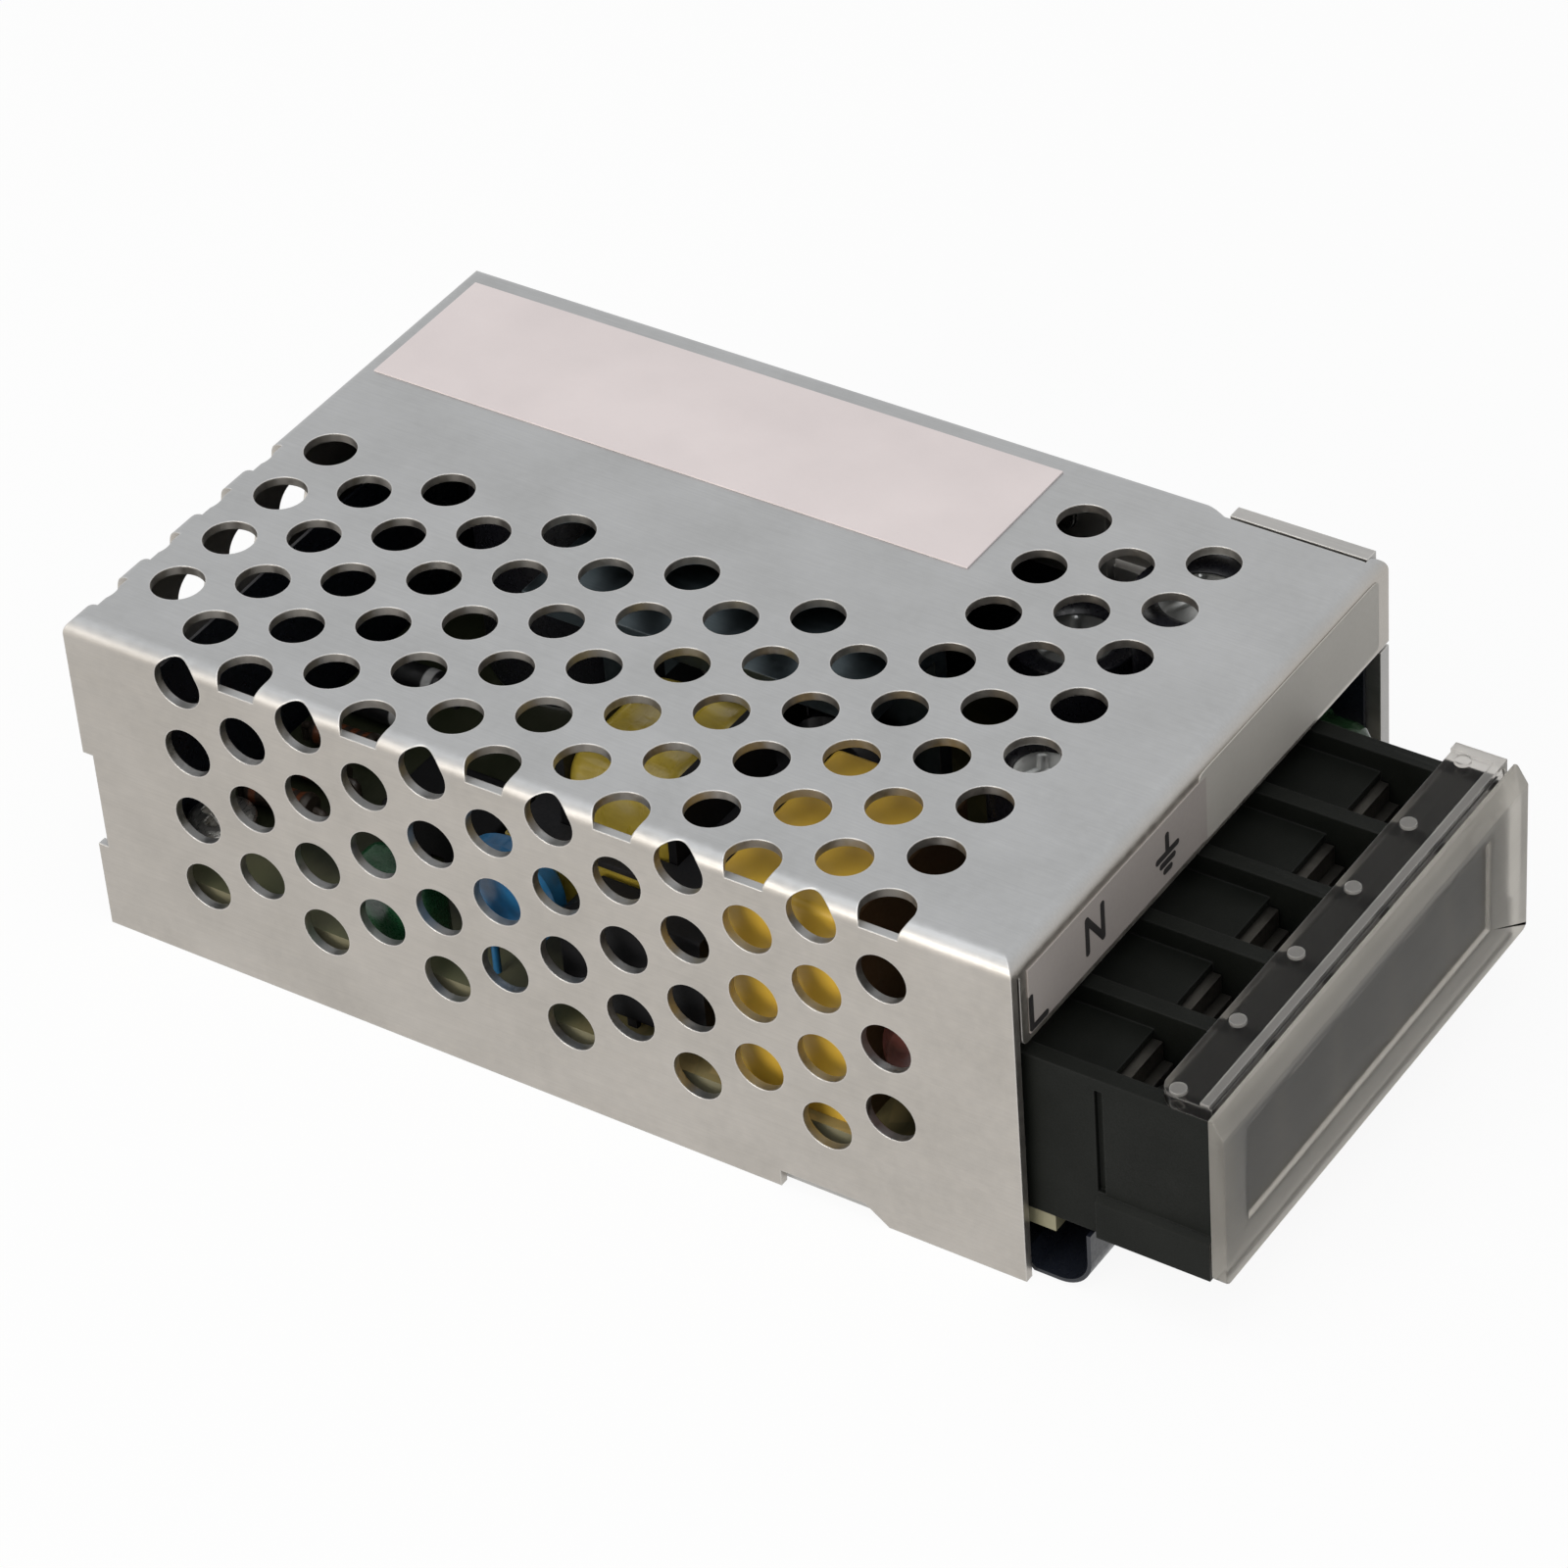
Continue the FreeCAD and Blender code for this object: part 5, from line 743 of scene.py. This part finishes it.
# Head with a domed rim over a threaded shank, the recess pressed into its top, deepest in the middle
def screwShape(size):
    head, rise, dome, shank, length = (size[key] for key in ("head", "rise", "dome", "shank", "length"))
    reach = recess["reach"] * head
    depth = recess["depth"] * rise

    def pressed(radius, angle, height):
        inside, out = crossOf(radius, angle, recess["arm"] * head / 2, reach, recess["slope"] * head)
        deeper = 1 - recess["rising"] * np.clip(out / reach, 0, 1)
        return -depth * inside * deeper * (height > rise - 2 * dome)

    form = screwForm
    crown = form["crown"]
    ring = np.linspace(0, head - dome, form["topRings"])
    top = np.column_stack([ring, rise - crown * dome * (ring / head) ** 2])
    turn = np.linspace(form["bendFrom"], quarterTurn, form["bendRings"])
    bend = np.column_stack([head - dome + dome * np.sin(turn), rise - dome + (1 - crown) * dome * np.cos(turn)])
    under = [(head, form["edge"] * rise), (form["foot"] * head, 0), (shank, 0)]
    grooves = shank - form["threadDepth"] * shank * (np.arange(form["threads"]) % 2)
    threads = np.column_stack([grooves, -length * np.linspace(*form["threaded"], form["threads"])])
    tip = [(shank * form["tip"], -length), (0, -length)]
    return turnedShape(np.concatenate([top, bend, under, threads, tip]), form["turns"], pressed)


terminalScrews = {
    "head": 2.8 * mm, "rise": 2.1 * mm, "dome": 0.45 * mm, "shank": 1.5 * mm, "length": 6.4 * mm,
    "pitch": 7.8 * mm,
    "stopped": (0.35, 1.1, -0.2, 0.7, 0.1),  # radians, how each screw happened to stop
}


def addTerminalScrews():
    low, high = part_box("terminal_screws")
    seat = high[0] - terminalScrews["rise"]
    screw = screwShape(terminalScrews)
    parts = []
    for number, angle in enumerate(terminalScrews["stopped"]):
        cos, sin = math.cos(angle), math.sin(angle)
        spun = screw @ np.array([[cos, sin, 0], [-sin, cos, 0], [0, 0, 1]])
        y = low[1] + terminalScrews["head"] + number * terminalScrews["pitch"]
        parts.append(stood(spun, "X", (seat, y, (low[2] + high[2]) / 2)))
    makePiece("terminalScrewHeads", parts, "shadedTerminalScrewSteel", "screw_steel", "terminal_screws")


boardScrews = {
    "head": 2.6 * mm, "rise": 1.9 * mm, "dome": 0.5 * mm, "shank": 1.45 * mm, "length": 4.2 * mm,
    "spots": [(6.0, 11.8), (5.6, 37.6), (73.0, 7.0), (73.0, 44.0)],  # behind the front, in from the near side
}


def addBoardScrews():
    screw = screwShape(boardScrews)
    parts = [stood(screw, "Z", boardSpot(*spot)) for spot in boardScrews["spots"]]
    makePiece("boardScrewHeads", parts, "screwSteel", "screw_steel", "board_screws")


tabScrews = {
    "head": 2.7 * mm, "rise": 1.8 * mm, "dome": 0.4 * mm, "shank": 1.45 * mm, "length": 3.3 * mm,
    "height": 20.0 * mm, "transistor": 41.0 * mm, "rectifier": 36.0 * mm,  # the two behind the front
}


def addTabScrews():
    low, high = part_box("tab_screws")
    rise, height = tabScrews["rise"], tabScrews["height"]
    screw = screwShape(tabScrews)
    parts = [
        stood(screw, "-Y", (frontX - tabScrews["transistor"], low[1] + rise, height)),
        stood(screw, "Y", (frontX - tabScrews["rectifier"], high[1] - rise, height)),
    ]
    makePiece("tabScrewHeads", parts, "screwSteel", "screw_steel", "tab_screws")


coverScrews = {
    "head": 2.0 * mm, "shank": 1.5 * mm, "length": 2.4 * mm, "rings": 24,
    "sink": 0.5 * mm,  # height of the countersunk cone
    "recess": 0.9 * mm, "halfArm": 0.2, "reach": 0.66,  # the last two are shares of the head's radius
    "skirtHeight": 24.2 * mm, "skirtBacks": (26.0 * mm, 64.0 * mm),  # the two in the skirt
    "backIn": 13.5 * mm, "backHeight": 9.5 * mm,  # the one in the back, in from the far side
}


# Countersunk screw: a flat top with the cross pressed in, a cone, a shank; all of it behind the face
def sunkScrewShape():
    head, shank, length = coverScrews["head"], coverScrews["shank"], coverScrews["length"]

    def pressed(radius, angle, height):
        halfArm, reach = coverScrews["halfArm"] * head, coverScrews["reach"] * head
        inside, _ = crossOf(radius, angle, halfArm, reach, recess["slope"] * head)
        return -coverScrews["recess"] * inside * (height > -0.01 * mm)

    ring = np.linspace(0, head, coverScrews["rings"])
    rest = [(shank, -coverScrews["sink"]), (shank, -length), (0, -length)]
    return turnedShape(np.concatenate([np.column_stack([ring, 0 * ring]), rest]), screwForm["turns"], pressed)


def addCoverScrews():
    screw = sunkScrewShape()
    height, backs = coverScrews["skirtHeight"], coverScrews["skirtBacks"]
    parts = [stood(screw, "Y", (frontX - back, farY, height)) for back in backs]
    parts.append(stood(screw, "-X", (caseLow[0], farY - coverScrews["backIn"], coverScrews["backHeight"])))
    makePiece("coverScrewHeads", parts, "screwSteel", "screw_steel", "cover_screws")


addTerminalScrews()
addBoardScrews()
addTabScrews()
addCoverScrews()
print("screws are in")

# Cans: a turned shell whose recessed top has vent lines scored from its middle

cans = {
    "groove": 1.6 * mm, "pinch": 0.4 * mm,  # height of the crimp, its depth and half width
    "rim": 0.5 * mm, "crown": 0.2 * mm,
    "score": 0.16 * mm, "scoreHalf": 0.28 * mm,  # depth and half width of the vent lines
    "turns": 96, "topRings": 22,
    "bulk": (61.6, 38.4, 7.8, 20.0),  # behind the front, in from the near side, radius, height
    "output": [(11.0, 43.5, 4.75, 19.8), (21.5, 43.4, 4.75, 12.4), (9.2, 31.9, 3.8, 12.4), (11.0, 22.0, 3.8, 19.4)],
}


# Can from its foot to the middle of its top; spokes is the number of vent lines from the middle
def canShape(back, inward, radius, height, spokes):
    radius, height = radius * mm, height * mm
    groove, pinch, rim = cans["groove"], cans["pinch"], cans["rim"]
    floor = height - rim

    def scored(ring, angle, up):
        part = fullTurn / spokes
        off = np.abs((angle + part / 2) % part - part / 2)
        beside = ring * np.sin(np.minimum(off, quarterTurn))
        inside = np.clip(1.5 - beside / cans["scoreHalf"], 0, 1) * (ring < radius - 4 * rim)
        crown = cans["crown"] * (1 - (ring / radius) ** 2)
        return (crown - cans["score"] * inside) * (ring < radius - 3 * rim + tiny) * (up > floor - tiny)

    wall = [(0, 0), (radius, 0), (radius, groove - pinch), (radius - 0.5 * pinch, groove - 0.45 * pinch),
            (radius - pinch, groove), (radius - 0.5 * pinch, groove + 0.45 * pinch), (radius, groove + pinch)]
    roll = bendProfile((radius - rim, height - rim), rim)
    inner = [(radius - 2 * rim, height), (radius - 2.4 * rim, height - 0.3 * rim), (radius - 3 * rim, floor)]
    face = np.linspace((radius - 3.1 * rim, floor), (0, floor), cans["topRings"])
    shape = turnedShape(np.concatenate([wall, roll, inner, face]), cans["turns"], scored)
    return stood(shape, "Z", boardSpot(back, inward))


def addCans():
    makePiece("bulkCan", [canShape(*cans["bulk"], 4)], "canAluminium", "can_aluminium", "bulk_capacitor")
    shapes = [canShape(*each, 3) for each in cans["output"]]
    makePiece("outputCans", shapes, "canAluminium", "can_aluminium", "output_capacitors")


sleeves = {
    "gap": 0.03 * mm, "wall": 0.15 * mm, "low": 0.4 * mm, "turns": 72,
    "crimp": 0.12 * mm, "crimpHalf": 0.5 * mm,  # how far it follows the groove, and over what half height
    "bend": 0.25 * mm, "bendDrop": 0.1 * mm,
    "flat": 0.9 * mm,  # in from the can's wall, where the flat over the rim ends
    "turnIn": 1.75 * mm, "sunk": 0.3 * mm, "lip": 0.2 * mm,
}


# Shrink sleeve: follows the can's wall and its crimped groove, and rolls in over the rim
def sleeveShape(back, inward, radius, height):
    radius, height = radius * mm, height * mm
    gap, wall, low, bend = (sleeves[key] for key in ("gap", "wall", "low", "bend"))
    inner = radius + gap
    outer = inner + wall
    over = height + gap
    flat = radius - sleeves["flat"]
    lip = radius - sleeves["turnIn"]
    sunk = height - sleeves["sunk"]
    groove, half = cans["groove"], sleeves["crimpHalf"]
    skin = [(outer, low), (outer, groove - half), (outer - sleeves["crimp"], groove), (outer, groove + half)]
    roll = bendProfile((outer - bend, over - sleeves["bendDrop"]), bend)
    edge = [(flat, over + wall), (lip + sleeves["lip"], sunk + wall), (lip, sunk),
            (flat, over), (inner, over), (inner, low), (outer, low)]
    shape = turnedShape(np.concatenate([skin, roll, edge]), sleeves["turns"])
    return stood(shape, "Z", boardSpot(back, inward))


def addSleeves():
    makePiece("bulkSleeve", [sleeveShape(*cans["bulk"])], "sleeveBlack", "sleeve_black", "bulk_capacitor_sleeve")
    shapes = [sleeveShape(*each) for each in cans["output"]]
    makePiece("outputSleeves", shapes, "sleeveBlack", "sleeve_black", "output_capacitor_sleeves")


addCans()
addSleeves()
print("cans are in")

# Windings

choke = {
    "ring": 3.3 * mm, "wire": 0.19 * mm, "turns": 19, "perTurn": 26,
    "over": 1.46 * mm,  # from the ring's centre line to the wire's centre
    "sweep": 132.0,  # degrees of the ring that one winding covers
}


# Wire wound round part of a ring: as the angle along the ring goes from one end of the sweep to the other,
# the wire goes round the ring's section a number of times
def chokeCoil(middle, centre):
    steps = np.linspace(0, 1, choke["turns"] * choke["perTurn"])
    along = math.radians(middle) + math.radians(choke["sweep"]) * (steps - 0.5)
    about = fullTurn * choke["turns"] * steps
    reach = choke["ring"] + choke["over"] * np.cos(about)
    path = np.stack([reach * np.cos(along), reach * np.sin(along), choke["over"] * np.sin(about)], axis=-1)
    return surface(wireShape(path + np.array(centre), choke["wire"]))


def addChokeWindings():
    low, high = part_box("choke_core")
    centre = [(a + b) / 2 for a, b in zip(low, high)]
    coils = [chokeCoil(middle, centre) for middle in (-90, 90)]
    makePiece("chokeTurns", coils, "enamelCopper", "enamel_copper", "choke_windings")


drum = {"waist": 2.26 * mm, "outer": 4.0 * mm, "layers": 15, "perLayer": 6, "turns": 72}


# Winding in the drum's waist: its outer face is a row of half circles, one for each turn of wire
def addDrumWinding():
    low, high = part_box("output_choke_winding")
    waist, outer = drum["waist"], drum["outer"]
    height = high[2] - low[2]
    wire = height / drum["layers"] / 2
    step = np.linspace(0, math.pi, drum["perLayer"], endpoint=False)
    middle = wire * (2 * np.arange(drum["layers"])[:, None] + 1)
    up = middle - wire * np.cos(step)
    rounds = np.stack([outer - wire + wire * np.sin(step) * np.ones_like(up), up], axis=-1).reshape(-1, 2)
    profile = [[(waist, 0)], rounds, [(outer - wire, height), (waist, height), (waist, 0)]]
    spot = ((low[0] + high[0]) / 2, (low[1] + high[1]) / 2, low[2])
    shape = stood(turnedShape(np.concatenate(profile), drum["turns"]), "Z", spot)
    makePiece("drumTurns", [shape], "enamelCopper", "enamel_copper", "output_choke_winding", sharp=80)


tapedCoil = {
    "squareness": 7.0, "around": 120, "across": 22, "shrink": 0.24 * mm,
    "crown": 0.22 * mm,  # how far the middle of the winding stands out past its ends
    "fall": 0.25 * mm, "fallFrom": 0.86,  # how far its ends fall off, from a share of its half length
    "lap": 0.09 * mm, "lapTurn": 0.6, "lapFrom": 0.2,  # step where the tape ends: turned by, cosine over
    "crease": 0.03 * mm, "creases": (5, 3),  # waves round the coil and along it
    "cap": 0.35,  # share of the section at which the closed ends have their ring
}


# Taped winding: a rounded rectangle carried along X between the flanges. Its radius from the middle
# swells by a cosine of the place along X, falls off at both ends, and steps down once where the tape ends.
def addTapedCoil():
    low, high = (np.array(corner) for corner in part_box("transformer_winding"))
    middle = (low + high) / 2
    half = (high - low) / 2 - tapedCoil["shrink"]
    angle, y, z = roundedRectangle(half[1:], tapedCoil["squareness"], tapedCoil["around"])
    along = np.linspace(-1, 1, tapedCoil["across"])
    swell = tapedCoil["crown"] * np.cos(along * quarterTurn)[:, None]
    last = np.clip((np.abs(along) - tapedCoil["fallFrom"]) / (1 - tapedCoil["fallFrom"]), 0, 1)
    ends = -tapedCoil["fall"] * last[:, None] ** 2
    lap = tapedCoil["lap"] * (np.cos(angle + tapedCoil["lapTurn"]) > tapedCoil["lapFrom"])[None, :]
    waves = tapedCoil["creases"]
    crease = tapedCoil["crease"] * np.sin(waves[0] * angle)[None, :] * np.sin(waves[1] * along)[:, None]
    factor = 1 + (swell + ends + (lap + crease)) / np.hypot(y, z)[None, :]
    x = (half[0] + tapedCoil["shrink"]) * along[:, None] * np.ones_like(factor)
    points = np.stack([x, y * factor, z * factor], axis=-1)
    caps = [points[end] * np.array([1.0, tapedCoil["cap"], tapedCoil["cap"]]) for end in (0, -1)]
    centres = [np.repeat([[x[end, 0], 0, 0]], len(angle), axis=0) for end in (0, -1)]
    shape = np.stack([centres[0], caps[0], *points, caps[1], centres[1]]) + middle
    makePiece("tapedCoil", [surface(shape)], "tapeYellow", "tape_yellow", "transformer_winding")


addChokeWindings()
addDrumWinding()
addTapedCoil()
print("windings are in")

# Small parts at the back of the board

axialForm = {
    "radius": 1.2 * mm, "length": 6.0 * mm, "lead": 0.3 * mm, "lift": 0.2 * mm,
    "back": 67.5,  # behind the front
    "swell": (0.78, 0.17),  # where along its half length a body swells, and how widely
    "taper": (0.9, 0.85),  # where its rounded end starts, and how much of its section that takes off
    "reach": 3.0, "bend": 1.2,  # how far the lead goes past the body and its bend, in its own radius
    "rings": 31, "turns": 40, "leadTurns": 12, "bendSteps": 7,
}
resistorRow = {"near": (11.0, 15.0, 19.0), "waist": 0.82}  # in from the near side
diodeRow = {"near": (23.5, 27.5), "waist": 1.0}


# Body lying along X with its wire bent down at both ends. waist is the share of the radius that the
# middle keeps: under 1 the body swells at its ends as a dipped resistor does.
def axialShape(near, waist):
    radius, length, wire = axialForm["radius"], axialForm["length"], axialForm["lead"]
    height = axialForm["lift"] + radius
    at = np.linspace(-1, 1, axialForm["rings"])
    place, width = axialForm["swell"]
    bulge = waist + (1 - waist) * np.exp(-((np.abs(at) - place) / width) ** 2)
    start, taken = axialForm["taper"]
    ends = np.sqrt(1 - np.clip((np.abs(at) - start) / (1 - start), 0, 1) ** 2 * taken)
    body = np.column_stack([radius * bulge * ends, at * length / 2])
    profile = np.concatenate([[(0, -length / 2)], body, [(0, length / 2)]])
    corner = boardSpot(axialForm["back"], near)
    middle = np.array([corner[0] - length / 2, corner[1], corner[2] + height])
    reach = length / 2 + axialForm["reach"] * wire
    bend = axialForm["bend"] * wire
    turn = np.linspace(0, quarterTurn, axialForm["bendSteps"])
    right = np.stack([reach - bend + bend * np.sin(turn), 0 * turn, -bend + bend * np.cos(turn)], axis=-1)
    half = np.concatenate([right, [[reach, 0, -height]]])
    path = np.concatenate([half[::-1] * np.array([-1, 1, 1]), half]) + middle
    lead = surface(wireShape(path, wire, axialForm["leadTurns"]))
    return joined([stood(turnedShape(profile, axialForm["turns"]), "X", middle), lead])


def addAxials():
    shapes = [axialShape(near, resistorRow["waist"]) for near in resistorRow["near"]]
    makePiece("dippedResistors", shapes, "resistorCoat", "resistor_coat", "resistors")
    shapes = [axialShape(near, diodeRow["waist"]) for near in diodeRow["near"]]
    makePiece("rowDiodes", shapes, "diodeCase", "black_plastic", "diodes")


addAxials()
print("small parts are in")

# Marks printed on the flange: strokes with round ends, each a ring of points round a line

flangeMarks = {
    "stroke": 0.26,  # half width of a stroke, mm
    "thick": 0.02, "sunk": 0.05, "around": 24,
    "step": 0.002,  # each stroke of a mark stands this much higher than the last
    "marks": {  # middle of each mark in from the near side and above the base, and its strokes
        "liveMark": ((3.0, 22.6), [((-0.9, 1.3), (-0.9, -1.3)), ((-0.9, -1.3), (0.9, -1.3))]),
        "neutralMark": ((10.3, 23.8), [
            ((-1.0, -1.4), (-1.0, 1.4)), ((-1.0, 1.4), (1.0, -1.4)), ((1.0, -1.4), (1.0, 1.4)),
        ]),
        "earthMark": ((19.8, 23.4), [
            ((0, 1.6), (0, 0.1)), ((-1.3, 0.1), (1.3, 0.1)),
            ((-0.8, -0.6), (0.8, -0.6)), ((-0.35, -1.3), (0.35, -1.3)),
        ]),
    },
}


# Closed slab from an outline: its middle, the outline low and high, and its middle again, as rings at
# heights along X
def slabShape(middle, outline, low, high):
    rings = [(middle, low), (outline, low), (outline, high), (middle, high)]
    return np.stack([np.column_stack([np.full(len(outline), x), flat]) for flat, x in rings])


# Stroke: a slab whose outline lies at a half width round a line
def strokeShape(start, end, low, high):
    start, end = np.array(start, float), np.array(end, float)
    turn = np.linspace(0, fullTurn, flangeMarks["around"], endpoint=False)
    lean = math.atan2(end[1] - start[1], end[0] - start[0])
    circle = np.stack([np.cos(turn + lean), np.sin(turn + lean)], axis=-1) * flangeMarks["stroke"]
    outline = np.where(np.cos(turn)[:, None] > 0, end, start) + circle
    middle = np.repeat(((start + end) / 2)[None], len(turn), axis=0)
    return slabShape(middle, outline, low, high)


def addFlangeMarks():
    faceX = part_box("marking_strip")[1][0] / mm
    for name, (middle, strokes) in flangeMarks["marks"].items():
        parts = []
        for number, (start, end) in enumerate(strokes):
            high = faceX + flangeMarks["thick"] + flangeMarks["step"] * number
            shape = strokeShape(start, end, faceX - flangeMarks["sunk"], high)
            parts.append(surface((shape + np.array([0, nearY / mm + middle[0], middle[1]])) * mm))
        makePiece(name, parts, "markInk", "block_plastic")


farFilm = {
    "near": 24.3, "far": 49.4,  # in from the near side
    "low": 0.15,  # below the marking strip's lower edge
    "height": 6.1, "thick": 0.1, "squareness": 24.0, "around": 64,
}


# Plain film over the far part of the flange: a rounded rectangle as a closed slab
def addFarFilm():
    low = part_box("marking_strip")[0]
    half = ((farFilm["far"] - farFilm["near"]) / 2, farFilm["height"] / 2)
    _, y, z = roundedRectangle(half, farFilm["squareness"], farFilm["around"])
    middle = (nearY / mm + (farFilm["near"] + farFilm["far"]) / 2, low[2] / mm - farFilm["low"] + half[1])
    outline = np.column_stack([middle[0] + y, middle[1] + z])
    centre = np.repeat([middle], len(y), axis=0)
    start = low[0] / mm
    shape = slabShape(centre, outline, start, start + farFilm["thick"])
    makePiece("farFilm", [surface(shape * mm)], "flangeFilm", "strip_film")


addFlangeMarks()
addFarFilm()
print("marks are on the flange")

backFilm = {
    "behind": 76.2 * mm, "thick": 0.25 * mm, "low": 1.5 * mm, "top": 20.5 * mm, "bow": 0.15 * mm,
    "waves": 1.5,  # over its width
    "grid": (40, 16),  # across and up
}


# Dark film standing inside the back wall: a grid over y and z, bowed by a sine across its width,
# closed into a thin slab by its own offset copy
def addBackFilm():
    low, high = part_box("insulation_sheet")
    columns, rows = backFilm["grid"]
    across = np.linspace(0, 1, columns)
    up = np.linspace(0, 1, rows)[:, None]
    y = low[1] + (high[1] - low[1]) * across[None, :] * np.ones_like(up)
    z = backFilm["low"] + (backFilm["top"] - backFilm["low"]) * up * np.ones_like(y)
    bow = backFilm["bow"] * np.sin(fullTurn * backFilm["waves"] * across)[None, :] * up
    front = np.stack([frontX - backFilm["behind"] + bow, y, z], axis=-1)
    back = front - np.array([backFilm["thick"], 0, 0])
    closed = np.concatenate([front, back[::-1], front[:1]])
    sides = [np.stack([front[:, end], back[:, end]], axis=1) for end in (0, -1)]
    parts = [surface(part, closed=False) for part in (closed, *sides)]
    makePiece("backFilm", parts, "insulationFilm", "insulation_film")


addBackFilm()
print("film is in")

# Softened copies of the clear cover's two parts and of the block

softenedNodes = {  # name, width of the bevels, slot
    "cover_strip": ("clearStrip", 0.12 * mm, "clear_plastic"),
    "cover_flap": ("clearFlap", 0.15 * mm, "clear_plastic"),
    "terminal_block": ("barrierBlock", 0.1 * mm, "block_plastic"),
}
softAngle = math.radians(30)  # edges sharper than this get a bevel


# A copy of a node and its material, with its triangles merged and real bevels on its edges
def softenedCopy(node, name, width):
    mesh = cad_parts[node].data.copy()
    mesh.name = name
    shell = bmesh.new()
    shell.from_mesh(mesh)
    bmesh.ops.remove_doubles(shell, verts=shell.verts, dist=weld)
    bmesh.ops.dissolve_limit(shell, angle_limit=math.radians(1), verts=shell.verts, edges=shell.edges)
    shell.to_mesh(mesh)
    shell.free()
    mesh.shade_smooth()
    mesh.set_sharp_from_angle(angle=softAngle)
    body = "flap" if node == "cover_flap" else "case"
    piece = settlePiece(name, mesh, body, (node,))
    bevel = piece.modifiers.new("edges", "BEVEL")
    bevel.width = width
    bevel.segments = 2
    bevel.limit_method = "ANGLE"
    bevel.angle_limit = softAngle
    bevel.harden_normals = True


for node, (name, width, slot) in softenedNodes.items():
    softenedCopy(node, name, width)
print("clear cover and block are softened")
